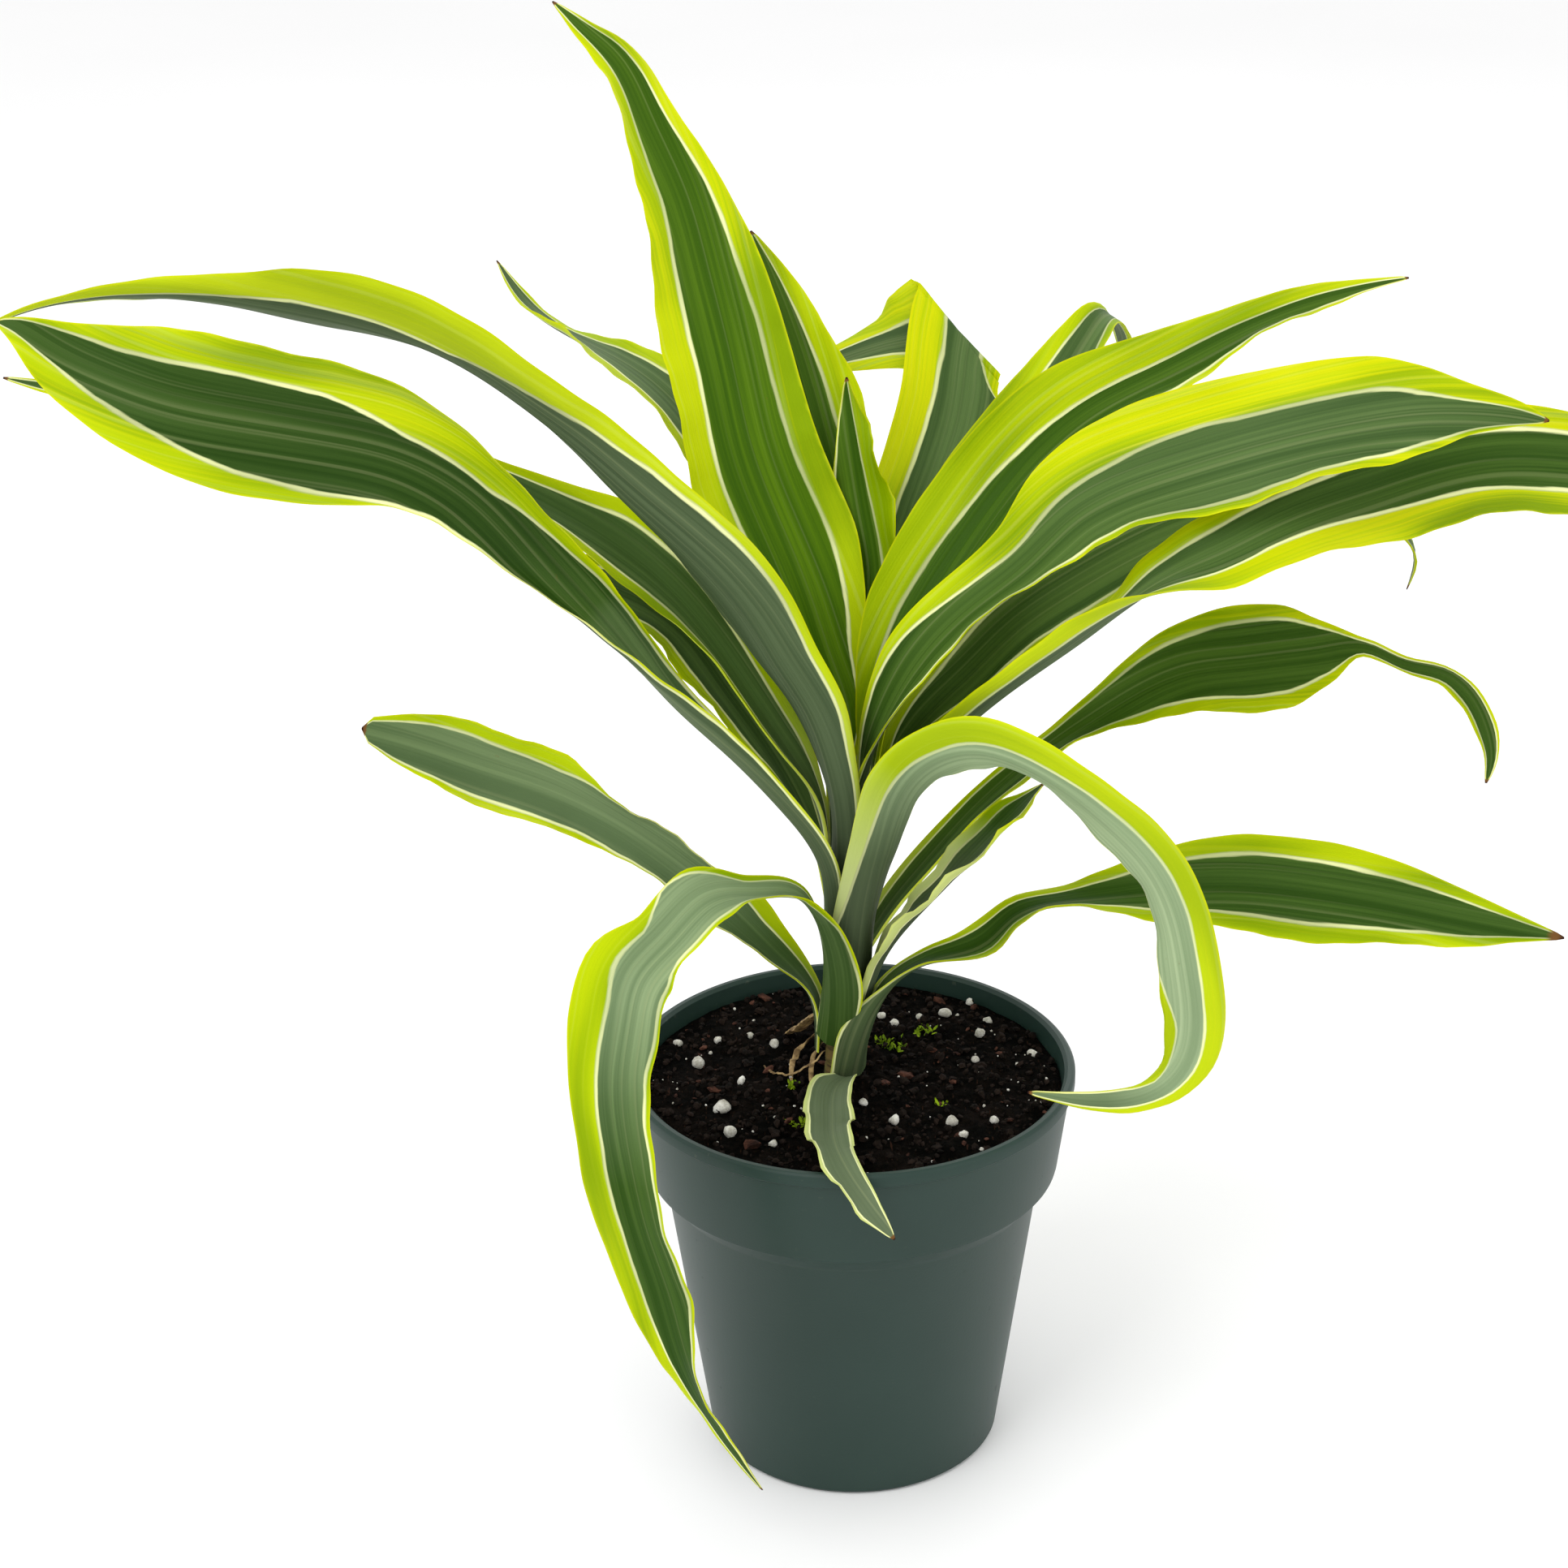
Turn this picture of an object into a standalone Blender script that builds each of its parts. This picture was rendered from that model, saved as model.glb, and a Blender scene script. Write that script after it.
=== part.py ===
"""Potted variegated dracaena: a round nursery pot of soil, one leaning cane and its arching strap leaves.

Metres, +Z up. The origin is the centre of the pot's base, which stands on the ground plane.
-Y faces the viewer. Each sub-part is one closed solid in the collection potted_dracaena.
"""

import math
from typing import NamedTuple

import bmesh
import bpy
import numpy as np

MM = 0.001
CLEARANCE = 0.3 * MM
MERGE_DISTANCE = 0.01 * MM
SHARP_ANGLE = math.radians(35)

# Pot: a tapered wall with a wide collar under its rim
POT_HEIGHT = 100 * MM
RIM_RADIUS = 54 * MM
LIP_HEIGHT = 3 * MM
COLLAR_RADIUS = 53 * MM
COLLAR_FOOT_RADIUS = 50 * MM
COLLAR_FOOT_HEIGHT = 75 * MM
SHOULDER_RADIUS = 45.5 * MM
SHOULDER_HEIGHT = 70 * MM
BASE_RADIUS = 36 * MM
BASE_CHAMFER = 1 * MM
WALL = 1.6 * MM
FLOOR_THICKNESS = 2 * MM
POT_STEPS = 64
DRAIN_HOLES = 4
DRAIN_RADIUS = 4 * MM
DRAIN_CIRCLE_RADIUS = 25 * MM
DRAIN_STEPS = 24

# Soil: fills the pot to just under the rim and rises a little towards the cane
SOIL_EDGE_HEIGHT = 95 * MM
SOIL_MOUND = 2 * MM
SOIL_RINGS = 5

# Cane: x, height and radius at each station; it leans slightly to +X and stands in a hole in the soil
CANE_STATIONS = (
    (-3.5, 62, 4.0), (-3.0, 93, 3.8), (-1.0, 133, 3.4), (0.5, 158, 2.8), (1.0, 167, 2.0),
)
CANE_SIDES = 16

# Leaves: thin arched blades, finer along their length than across
STATION_SIZE = 7
LEAF_THICKNESS = 0.8 * MM
ROW_LENGTH = 9 * MM
NARROW_COLUMNS = 4
WIDE_COLUMNS = 6
WIDE_BLADE = 20
RIPPLE_HEIGHT = 1.0
RIPPLES = 5
FAR_EDGE_LAG = 2.1
RIPPLE_START = 0.15
RIPPLE_RISE = 0.2
RIPPLE_END = 0.12


class Leaf(NamedTuple):
    """A blade along its midrib.

    heading is the way the leaf points, in degrees from +X, seen from above. Each station is
    x, y, z in mm, the blade's roll about the midrib in degrees, its width in mm round the
    curved section, and the half-angle of that curve in degrees. A seventh number is the slant
    of the section in the blade's own plane, in degrees, where the blade folds over at an angle.
    ripple scales the edge's waves.
    """

    heading: float
    stations: tuple
    ripple: float = 1.0


# Stations chosen by eye along each leaf of the plant, from its seat on the cane to its tip
LEAVES = {
    "leaf_tall": Leaf(115, stations=(
        (-1, 2.5, 178, 0, 5, 50), (-0.5, 4, 187, 0, 10, 50), (-4.5, 8, 200.5, 0, 19, 38),
        (-9, 12, 214, 0, 29, 28), (-14, 16, 226.5, 0, 35, 24), (-22, 21, 247, 0, 34, 22),
        (-26, 26, 264.5, 0, 32, 20), (-31.5, 33, 287, 0, 28, 18), (-36, 39, 302.5, 0, 21, 18),
        (-43.5, 46, 318.5, 0, 14, 18), (-50.5, 52, 331, 0, 11, 16), (-57.5, 55, 337, 5, 6, 14),
        (-64.5, 58, 343, 10, 1, 12),
    )),
    "leaf_young": Leaf(65, stations=(
        (1.5, 4.5, 174, 0, 5, 40), (3.5, 11, 196, 0, 11, 55), (6, 15, 206.5, 0, 15, 45),
        (7.5, 18, 215.5, 0, 17, 38), (5.5, 23, 231.5, 0, 16, 35), (3, 27, 247, 0, 10, 30),
        (1, 31, 261.5, 0, 1, 25),
    )),
    "leaf_tall_behind": Leaf(95, stations=(
        (-1, 5.5, 172, 0, 5, 40), (0.5, 16, 190.5, 0, 8, 50), (2, 21, 205, 0, 11, 45),
        (1.5, 26, 219, 0, 17, 38), (-1.5, 31.5, 235, 0, 21, 30), (-5.5, 37, 251, 0, 22, 25),
        (-11, 43, 269, 0, 15, 20), (-16, 48, 281.5, 0, 8, 15), (-20.5, 52, 291, 0, 1, 12),
    )),
    "leaf_back_fold": Leaf(140, ripple=0.25, stations=(
        (1, 4.5, 157, -61, 6, 40), (6, 17, 185.5, -64, 8, 50), (10, 27, 204, -62, 13, 45),
        (14.5, 38, 218.5, -62, 19, 35), (20.5, 50, 231, -61, 24, 26),
        (26.5, 64.9, 244.8, -44, 25, 18, 14), (27.9, 70.5, 251.8, -44, 24.5, 10, 33),
        (28.7, 73.8, 256.1, -44.8, 24, 6, 43.1), (29.3, 76, 258.8, -28.1, 23, 4, 43.2),
        (29.4, 77, 259.5, 13.4, 23, 4, 42), (29.1, 78.3, 259.7, 65.5, 23, 4, 40.2),
        (28.2, 79.2, 259.6, 96.3, 23, 4, 44.6), (27, 79.6, 259.6, 115, 23, 4, 42.7),
        (20.7, 79.8, 258.7, 112.3, 22.5, 7, 27.4), (12, 80.4, 256.5, 134, 17.5, 10, 12),
        (3.2, 81.1, 253.6, 134, 11.5, 12), (-5.4, 81.6, 250.7, 134, 5.5, 12),
        (-12.8, 82.1, 248.9, 134, 1, 12),
    )),
    "leaf_back_right": Leaf(50, stations=(
        (3.5, 4.5, 165, 5, 5, 38), (8.5, 11, 190, 10, 7, 50), (13, 15, 204, 10, 10, 45),
        (21, 23, 219, 10, 14, 38), (31.5, 33, 234, 10, 20, 30), (43.5, 44, 245, 10, 21, 30),
        (53.5, 55, 255, 10, 18, 28), (60.5, 64, 263, 12, 12.5, 26), (64.5, 70, 265, 16, 9, 24),
        (67.5, 74, 262, 20, 8, 22), (69.5, 78, 256.5, 20, 6.5, 22), (70.5, 82, 249.5, 20, 1, 20),
    )),
    "leaf_upper_right": Leaf(15, stations=(
        (5, -0.5, 169, -10, 5, 40), (6, -1, 191, 15, 11, 50), (10.5, 0, 203.5, 35, 19, 45),
        (16.5, 3, 215, 42, 25, 40), (26.5, 9, 229, 42, 27, 36), (38.5, 16, 243, 42, 27, 35),
        (54, 25, 254.5, 42, 24, 30), (72, 36, 260.5, 42, 18, 25), (94, 48, 267.5, 42, 11, 20),
        (116.5, 59, 272, 42, 6, 20), (136.5, 67, 273.5, 42, 1, 15),
    )),
    "leaf_right_big": Leaf(0, stations=(
        (3, -3.5, 158, -45, 6, 40), (4, -8, 180.5, 0, 10, 55), (8, -12, 195, 20, 14.5, 48),
        (16, -16, 211.5, 32, 17.5, 42), (26.5, -18, 223.5, 34, 17, 36), (38, -19, 233.5, 38, 19, 38),
        (49, -19, 244.5, 41, 27, 42), (60, -19, 250.5, 44, 31, 44), (70.5, -20, 254.5, 44, 33.5, 38),
        (91, -23, 261.5, 42, 31, 30), (110.5, -29, 267.5, 45, 27, 26), (120, -32, 269.5, 48, 20, 22),
        (129.5, -34, 270, 50, 12, 20), (139.5, -36, 269.5, 50, 6, 18), (145.5, -37, 268.5, 50, 1, 15),
    )),
    "leaf_right_inner": Leaf(5, stations=(
        (5.5, 0.5, 152, 0, 5, 35), (9, 0, 174, 20, 7, 45), (15.5, 2.5, 186, 30, 14, 50),
        (27.5, 6, 197.5, 38, 20, 40), (38.5, 9, 207.5, 40, 24, 35), (52, 12, 216, 40, 24, 35),
        (67, 15, 223.5, 40, 22, 30), (82, 18, 228.5, 42, 17, 30), (99, 19, 231.5, 40, 13, 30),
        (113.5, 18, 232, 30, 9, 25), (124.5, 17, 229, 25, 5, 25), (131, 16, 222, 20, 5, 20),
        (129.5, 14, 213.5, 10, 1, 15),
    )),
    "leaf_right_outer": Leaf(-15, stations=(
        (4.5, -4, 145, -10, 5, 38), (9.5, -10, 171, -5, 9, 50), (20.5, -17, 189, -15, 16, 50),
        (34.5, -25, 205.5, -20, 18, 45), (51, -32, 221, -15, 20, 40), (67.5, -36, 234.5, 10, 22, 36),
        (78, -36, 239, 35, 22, 32), (90.5, -33, 244, 48, 22, 28), (101.5, -28, 246.5, 50, 23, 26),
        (113, -22, 248, 50, 25, 26), (124.5, -16, 249.5, 50, 26, 26), (142, -9, 250.5, 50, 27, 26),
        (159.5, -3, 248, 50, 24, 24), (177, 2, 244, 50, 15, 20), (192, 5, 239.5, 50, 1, 15),
    )),
    "leaf_mid_right": Leaf(8, stations=(
        (3, 1.5, 128, 10, 8, 51), (11, 6, 139, 10, 11, 55), (19.5, 10, 148, 10, 12, 50),
        (29, 14, 157.5, 10, 11, 45), (39, 17, 166, 15, 10, 40), (49.5, 19, 174, 25, 9, 35),
        (58.5, 21, 179.5, 40, 11, 30), (69, 22, 186, 50, 16, 25), (81.5, 23, 191, 50, 23, 22),
        (93.5, 23, 192.5, 50, 28, 20), (103, 22, 194, 50, 26, 20), (112.5, 20, 196, 50, 16, 20),
        (121.5, 18, 197.5, 55, 5, 20), (130.5, 16, 194, 62, 4.5, 20), (139, 14, 192.5, 75, 5, 22),
        (145.5, 13, 187.5, 88, 5.5, 24), (149.5, 11, 180, 92, 5.5, 24), (151, 9.5, 172.5, 92, 3.5, 22),
        (150, 8, 167, 92, 1, 20),
    )),
    "leaf_short_right": Leaf(-12, stations=(
        (4, -2, 118, -10, 8, 38), (8, -8, 133, 0, 11, 55), (13, -11, 142, 0, 13, 50),
        (20.5, -11, 150.5, 5, 14, 50), (28, -9, 158, 15, 15, 45), (36.5, -5, 165.5, 20, 12, 40),
        (45.5, 0, 172.5, 20, 1, 30),
    )),
    "leaf_low_right": Leaf(-5, stations=(
        (1.5, -4, 99, -40, 8, 38), (5, -6, 115, -20, 9, 55), (9.5, -3, 122, 0, 8, 50),
        (15.5, 0, 125.5, 0, 8, 45), (23, 3, 127, 20, 8, 35), (32.5, 6, 129.5, 40, 10, 30),
        (39.5, 8, 135, 30, 9, 30), (49.5, 8, 138, 10, 10, 30), (61.5, 6, 140.5, 20, 14, 30),
        (74, 4, 143, 40, 19, 26), (83, 2, 144.5, 48, 22, 24), (96, 0, 145, 50, 25, 22),
        (109, -3, 144.5, 50, 25, 20), (124, -5, 142.5, 50, 22, 20), (142.5, -8, 139.5, 50, 14, 20),
        (157.5, -10, 137, 50, 6, 20), (166.5, -11, 135.5, 50, 1, 15),
    )),
    "leaf_front_right": Leaf(-40, stations=(
        (1.5, -5.5, 123, -22, 9, 43), (2.5, -10, 139.5, -15, 13, 55), (4, -14, 152, -20, 14, 50),
        (7, -19, 167, -30, 15, 50), (11, -24, 181.5, -42, 16, 45), (18, -30, 191.5, -55, 15.5, 40),
        (27.5, -36, 196, -62, 17, 38), (41.5, -42, 192.5, -70, 17, 34), (54.5, -46, 183.5, -80, 16, 30),
        (64, -49, 174, -90, 15.5, 28), (70, -50, 161.5, -98, 15.5, 26),
        (73, -51, 147.5, -100, 15.5, 25), (74.5, -50, 136.5, -100, 15, 25),
        (73.5, -49, 126.5, -98, 13.5, 25), (69.5, -47.5, 119, -90, 9, 28), (63, -45, 114, -82, 6, 28),
        (53.5, -41, 111, -72, 4.5, 28), (39.5, -37, 111.5, -70, 1, 20),
    )),
    "leaf_front_left": Leaf(215, stations=(
        (-5.5, -5, 108, 22, 9, 43), (-4.5, -10, 129, 5, 13, 55), (-7, -14, 143.5, -5, 12, 50),
        (-12, -20, 154, -15, 8.5, 45), (-22, -31, 160.5, -22, 9, 40), (-33.5, -43, 164.5, -26, 16, 32),
        (-42, -52, 159.5, -30, 15, 28), (-49, -59, 154, -35, 22, 26),
        (-51.5, -63, 145.5, -35, 22.5, 25), (-53.5, -66, 133, -35, 19.5, 25),
        (-53, -68, 120.5, -35, 18, 25), (-51.5, -69, 110, -35, 19, 25), (-49, -69, 96.5, -35, 18, 25),
        (-45, -68, 80, -35, 16.5, 25), (-41, -66, 61, -30, 10, 25), (-36, -63, 45.5, -25, 6, 25),
        (-23, -57, 17.5, -20, 1, 20),
    )),
    "leaf_left_mid": Leaf(175, stations=(
        (-8, 2.5, 103, -10, 7, 36), (-9.5, 3, 117.5, -10, 8, 50), (-17, 3, 128, -30, 11, 45),
        (-28, 3, 141, -60, 14, 46), (-39.5, 3, 152, -90, 14, 52), (-52, 3, 162, -97, 15, 56),
        (-60.5, 3, 167.5, -94, 17.5, 42), (-69, 3, 172, -80, 18.5, 32), (-85.5, 2, 179, -68, 19, 26),
        (-100, 0, 185.5, -58, 13.5, 20), (-111.5, -2, 190, -50, 5, 15),
    )),
    "leaf_left_big": Leaf(190, stations=(
        (-5.5, -4, 137, 15, 6, 40), (-7, -9.5, 158, 15, 11, 50), (-15.5, -14, 173.5, 15, 12, 58),
        (-27, -20, 189.5, 8, 14, 68), (-38, -25, 203, 2, 15.5, 74), (-47.5, -29, 216.5, -20, 15, 74),
        (-56.5, -32, 229.5, -60, 15.5, 74), (-66.5, -34, 243.5, -92, 18, 72),
        (-77, -35, 256.5, -98, 22.5, 60), (-92.5, -36, 267, -97, 28, 44),
        (-109, -36, 271.5, -93, 33, 36), (-126, -35, 274.5, -85, 34, 30),
        (-142.5, -34, 278, -75, 29.5, 26), (-154.5, -32, 282, -69, 22.5, 24),
        (-166, -30, 287.5, -65, 13.5, 22), (-172.5, -29, 291.5, -62, 6, 18),
        (-177, -28, 293, -62, 1, 15),
    )),
    "leaf_left_upper": Leaf(180, stations=(
        (-2.5, -6, 150, 57, 7, 40), (-2.5, -10.5, 170.5, 45, 11, 55), (-5, -12.5, 184.5, 48, 14, 50),
        (-9.5, -12, 197, 50, 19, 48), (-15.5, -11, 207, 52, 21, 45), (-21.5, -9, 217, 52, 24, 42),
        (-28.5, -7, 226, 52, 26, 42), (-36.5, -5, 234, 48, 27, 42), (-48, -3, 244.5, 40, 28, 45),
        (-60, -1, 256, 30, 29.5, 50), (-72.5, 0, 266.5, 23, 32, 53), (-87, 1, 276, 24, 34, 52),
        (-104.5, 2, 282.5, 32, 33, 48), (-120.5, 3, 286, 38, 28, 44), (-136, 3, 289, 38, 16.5, 42),
        (-155, 2, 291, 36, 7.5, 38), (-169, 1, 290, 35, 5, 30), (-179.5, 0, 287.5, 35, 3, 30),
        (-187.5, -1, 284.5, 35, 1, 20),
    )),
    "leaf_back_left": Leaf(135, stations=(
        (-3.5, 5, 155, -10, 5, 35), (-5, 12.5, 182, 0, 7, 50), (-11, 20, 203, 0, 14, 45),
        (-21, 31, 225.5, 0, 19, 40), (-32, 42, 242.5, 0, 20, 35), (-43.5, 53, 253.5, 0, 21, 30),
        (-54, 62, 258.5, 10, 18, 30), (-65.5, 72, 262, 20, 11, 30), (-76.5, 80, 268.5, 20, 7, 25),
        (-83, 86, 277, 20, 1, 20),
    )),
    "leaf_left_inner": Leaf(180, stations=(
        (-5.5, 0, 149, 0, 5, 35), (-7.5, 0.5, 169, -10, 8, 45), (-15, 3, 182.5, -25, 15, 48),
        (-27, 6, 201.5, -30, 18, 45), (-36, 9, 213.5, -30, 22, 40), (-52, 12, 228, -36, 22, 38),
        (-65, 14, 236, -36, 15, 30), (-83, 15, 245.5, -30, 9, 30), (-104.5, 15, 255, -30, 6.5, 30),
        (-129.5, 13, 261.5, -30, 6, 30), (-155.5, 9, 265.5, -30, 5, 25),
        (-175.5, 5, 269.5, -30, 3.5, 20), (-185, 3, 272.5, -30, 1, 15),
    )),
    "leaf_left_dark": Leaf(160, stations=(
        (-4.5, 3.5, 142, -20, 6, 35), (-8.5, 5.5, 159, -10, 8, 50), (-14, 10, 170.5, -25, 12, 48),
        (-21.5, 14, 182, -30, 17, 40), (-29.5, 18, 192.5, -30, 19, 35), (-36.5, 21, 202, -30, 19, 30),
        (-46, 23, 209.5, -30, 18, 30), (-57, 25, 214, -30, 15, 30), (-70.5, 25, 218, -30, 9, 25),
        (-82, 25, 221, -30, 1, 20),
    )),
    "leaf_front_small": Leaf(285, ripple=0.5, stations=(
        (-1.5, -8, 100, 0, 7, 38), (-4, -13, 101, 0, 11, 45), (-6, -30, 101.5, 0, 12, 30),
        (-4.5, -50, 102.5, 0, 9, 25), (0.5, -60, 98.5, 0, 7, 20), (8, -62, 88.5, 0, 1, 15),
    )),
}

COLOURS = {
    "pot_plastic": ((0.040, 0.070, 0.061, 1.0), 0.42),
    "potting_soil": ((0.016, 0.011, 0.008, 1.0), 0.95),
    "cane_bark": ((0.130, 0.110, 0.055, 1.0), 0.75),
    "leaf_green": ((0.090, 0.190, 0.030, 1.0), 0.42),
}


def clear_scene():
    """Empty the scene of the objects it opened with."""
    for obj in list(bpy.data.objects):
        bpy.data.objects.remove(obj, do_unlink=True)


def make_material(name):
    """A plain Principled material in the sub-part's own colour."""
    colour, roughness = COLOURS[name]
    material = bpy.data.materials.new(name)
    material.use_nodes = True
    shader = material.node_tree.nodes["Principled BSDF"]
    shader.inputs["Base Color"].default_value = colour
    shader.inputs["Roughness"].default_value = roughness
    shader.inputs["Metallic"].default_value = 0.0
    material.diffuse_color = colour
    return material


def add_object(name, mesh, collection, material=None):
    """Put a mesh in the scene under a name, shaded smooth across its soft edges."""
    obj = bpy.data.objects.new(name, mesh)
    collection.objects.link(obj)
    if material:
        mesh.materials.append(material)
    mesh.shade_smooth()
    mesh.set_sharp_from_angle(angle=SHARP_ANGLE)
    return obj


def turned(name, profile, collection, material=None, steps=POT_STEPS):
    """Turn a profile of (radius, height) points about +Z with a Screw modifier."""
    mesh = bpy.data.meshes.new(name)
    shape = bmesh.new()
    points = [shape.verts.new((radius, 0.0, height)) for radius, height in profile]
    for start, end in zip(points, points[1:]):
        shape.edges.new((start, end))
    shape.to_mesh(mesh)
    shape.free()
    obj = add_object(name, mesh, collection, material)
    screw = obj.modifiers.new("turn", "SCREW")
    screw.steps = steps
    screw.render_steps = steps
    screw.use_merge_vertices = True
    screw.merge_threshold = MERGE_DISTANCE
    screw.use_smooth_shade = True
    return obj


def make_cutter(obj):
    """Mark an object as a cutter, drawn as wire and left out of renders."""
    obj.hide_render = True
    obj.display_type = "WIRE"
    return obj


def cut(obj, cutter):
    """Subtract the cutter from the object."""
    boolean = obj.modifiers.new("cut " + cutter.name, "BOOLEAN")
    boolean.operation = "DIFFERENCE"
    boolean.object = cutter


def pot_radius_inside(height):
    """Inner radius of the pot's wall at a height."""
    heights = (0.0, SHOULDER_HEIGHT, COLLAR_FOOT_HEIGHT, POT_HEIGHT)
    radii = (BASE_RADIUS, SHOULDER_RADIUS, COLLAR_FOOT_RADIUS, COLLAR_RADIUS)
    return float(np.interp(height, heights, radii)) - WALL


def build_pot(collection, cutters, material):
    """The pot: tapered body, collar, rolled lip, flat floor and off-centre drain holes."""
    outside = [
        (RIM_RADIUS - WALL / 2, POT_HEIGHT),
        (RIM_RADIUS, POT_HEIGHT - WALL / 2),
        (RIM_RADIUS, POT_HEIGHT - LIP_HEIGHT),
        (COLLAR_RADIUS, POT_HEIGHT - LIP_HEIGHT - WALL / 2),
        (COLLAR_FOOT_RADIUS, COLLAR_FOOT_HEIGHT),
        (SHOULDER_RADIUS, SHOULDER_HEIGHT),
        (BASE_RADIUS, BASE_CHAMFER),
        (BASE_RADIUS - BASE_CHAMFER, 0.0),
        (0.0, 0.0),
    ]
    inside = [
        (0.0, FLOOR_THICKNESS),
        (pot_radius_inside(FLOOR_THICKNESS), FLOOR_THICKNESS),
        (pot_radius_inside(SHOULDER_HEIGHT), SHOULDER_HEIGHT),
        (pot_radius_inside(COLLAR_FOOT_HEIGHT), COLLAR_FOOT_HEIGHT),
        (pot_radius_inside(POT_HEIGHT), POT_HEIGHT - WALL / 2),
        (pot_radius_inside(POT_HEIGHT) + WALL / 2, POT_HEIGHT),
    ]
    profile = outside + inside
    pot = turned("pot", profile + [profile[0]], collection, material)
    for index in range(DRAIN_HOLES):
        angle = math.tau * (index + 0.5) / DRAIN_HOLES
        place = (math.cos(angle) * DRAIN_CIRCLE_RADIUS, math.sin(angle) * DRAIN_CIRCLE_RADIUS, 0.0)
        bpy.ops.mesh.primitive_cylinder_add(
            vertices=DRAIN_STEPS, radius=DRAIN_RADIUS, depth=4 * FLOOR_THICKNESS, location=place
        )
        cutter = make_cutter(bpy.context.object)
        cutter.name = f"drain_{index + 1}_cutter"
        move_to(cutter, cutters)
        cut(pot, cutter)
    return pot


def move_to(obj, collection):
    """Keep an object in one collection only."""
    for other in list(obj.users_collection):
        other.objects.unlink(obj)
    collection.objects.link(obj)


def tapered_tube(name, spare, collection, material=None):
    """The cane's body as a bevelled curve made into a mesh, its radius grown by spare."""
    curve = bpy.data.curves.new(name, "CURVE")
    curve.dimensions = "3D"
    curve.bevel_depth = 1.0 * MM
    curve.bevel_resolution = CANE_SIDES // 4 - 1
    curve.use_fill_caps = True
    spline = curve.splines.new("POLY")
    spline.points.add(len(CANE_STATIONS) - 1)
    ends = (0, len(CANE_STATIONS) - 1)
    for index, (x, height, radius) in enumerate(CANE_STATIONS):
        reach = spare * (1 if index == ends[1] else -1) if index in ends else 0.0
        spline.points[index].co = (x * MM, 0.0, height * MM + reach, 1.0)
        spline.points[index].radius = radius + spare / MM
    guide = bpy.data.objects.new(name + "_guide", curve)
    bpy.context.scene.collection.objects.link(guide)
    bpy.context.view_layer.update()
    graph = bpy.context.evaluated_depsgraph_get()
    mesh = bpy.data.meshes.new_from_object(guide.evaluated_get(graph))
    bpy.data.objects.remove(guide, do_unlink=True)
    shape = bmesh.new()
    shape.from_mesh(mesh)
    bmesh.ops.remove_doubles(shape, verts=shape.verts, dist=MERGE_DISTANCE)
    shape.to_mesh(mesh)
    shape.free()
    return add_object(name, mesh, collection, material)


def build_soil(collection, cutters, material):
    """The soil: fills the pot with a gap all round, mounded on top, with the cane's hole."""
    floor = FLOOR_THICKNESS + CLEARANCE
    top = [
        (fraction * (pot_radius_inside(SOIL_EDGE_HEIGHT) - CLEARANCE), SOIL_MOUND * (1 - fraction**2))
        for fraction in np.linspace(0.0, 1.0, SOIL_RINGS)
    ]
    profile = [(radius, SOIL_EDGE_HEIGHT + rise) for radius, rise in top]
    for height in (COLLAR_FOOT_HEIGHT, SHOULDER_HEIGHT, floor):
        profile.append((pot_radius_inside(height) - CLEARANCE, height))
    profile.append((0.0, floor))
    soil = turned("soil", profile, collection, material)
    cut(soil, make_cutter(tapered_tube("cane_hole_cutter", CLEARANCE, cutters)))
    return soil


def curve_through(times, points, samples):
    """Values and slopes of the natural cubic curve through the points, at the samples."""
    count = len(times)
    steps = np.diff(times)
    matrix = np.eye(count)
    targets = np.zeros_like(points)
    for i in range(1, count - 1):
        matrix[i, i - 1 : i + 2] = (steps[i - 1], 2 * (steps[i - 1] + steps[i]), steps[i])
        targets[i] = 6 * ((points[i + 1] - points[i]) / steps[i] - (points[i] - points[i - 1]) / steps[i - 1])
    bend = np.linalg.solve(matrix, targets)
    i = np.clip(np.searchsorted(times, samples, side="right") - 1, 0, count - 2)
    step = steps[i][:, None]
    after = (samples - times[i])[:, None] / step
    before = 1 - after
    values = before * points[i] + after * points[i + 1]
    values += ((before**3 - before) * bend[i] + (after**3 - after) * bend[i + 1]) * step**2 / 6
    slopes = (points[i + 1] - points[i]) / step
    slopes += ((3 * after**2 - 1) * bend[i + 1] - (3 * before**2 - 1) * bend[i]) * step / 6
    return values, slopes


def eased(times, values, samples):
    """Values between the stations, with no overshoot past either neighbour."""
    rates = np.diff(values) / np.diff(times)
    slopes = np.concatenate([rates[:1], np.zeros(len(values) - 2), rates[-1:]])
    for k in range(1, len(values) - 1):
        if rates[k - 1] * rates[k] > 0:
            slopes[k] = 2 * rates[k - 1] * rates[k] / (rates[k - 1] + rates[k])
    i = np.clip(np.searchsorted(times, samples, side="right") - 1, 0, len(times) - 2)
    step = times[i + 1] - times[i]
    s = (samples - times[i]) / step
    start = (1 + 2 * s) * (1 - s) ** 2 * values[i] + s * (1 - s) ** 2 * step * slopes[i]
    end = s**2 * (3 - 2 * s) * values[i + 1] + s**2 * (s - 1) * step * slopes[i + 1]
    return start + end


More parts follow.
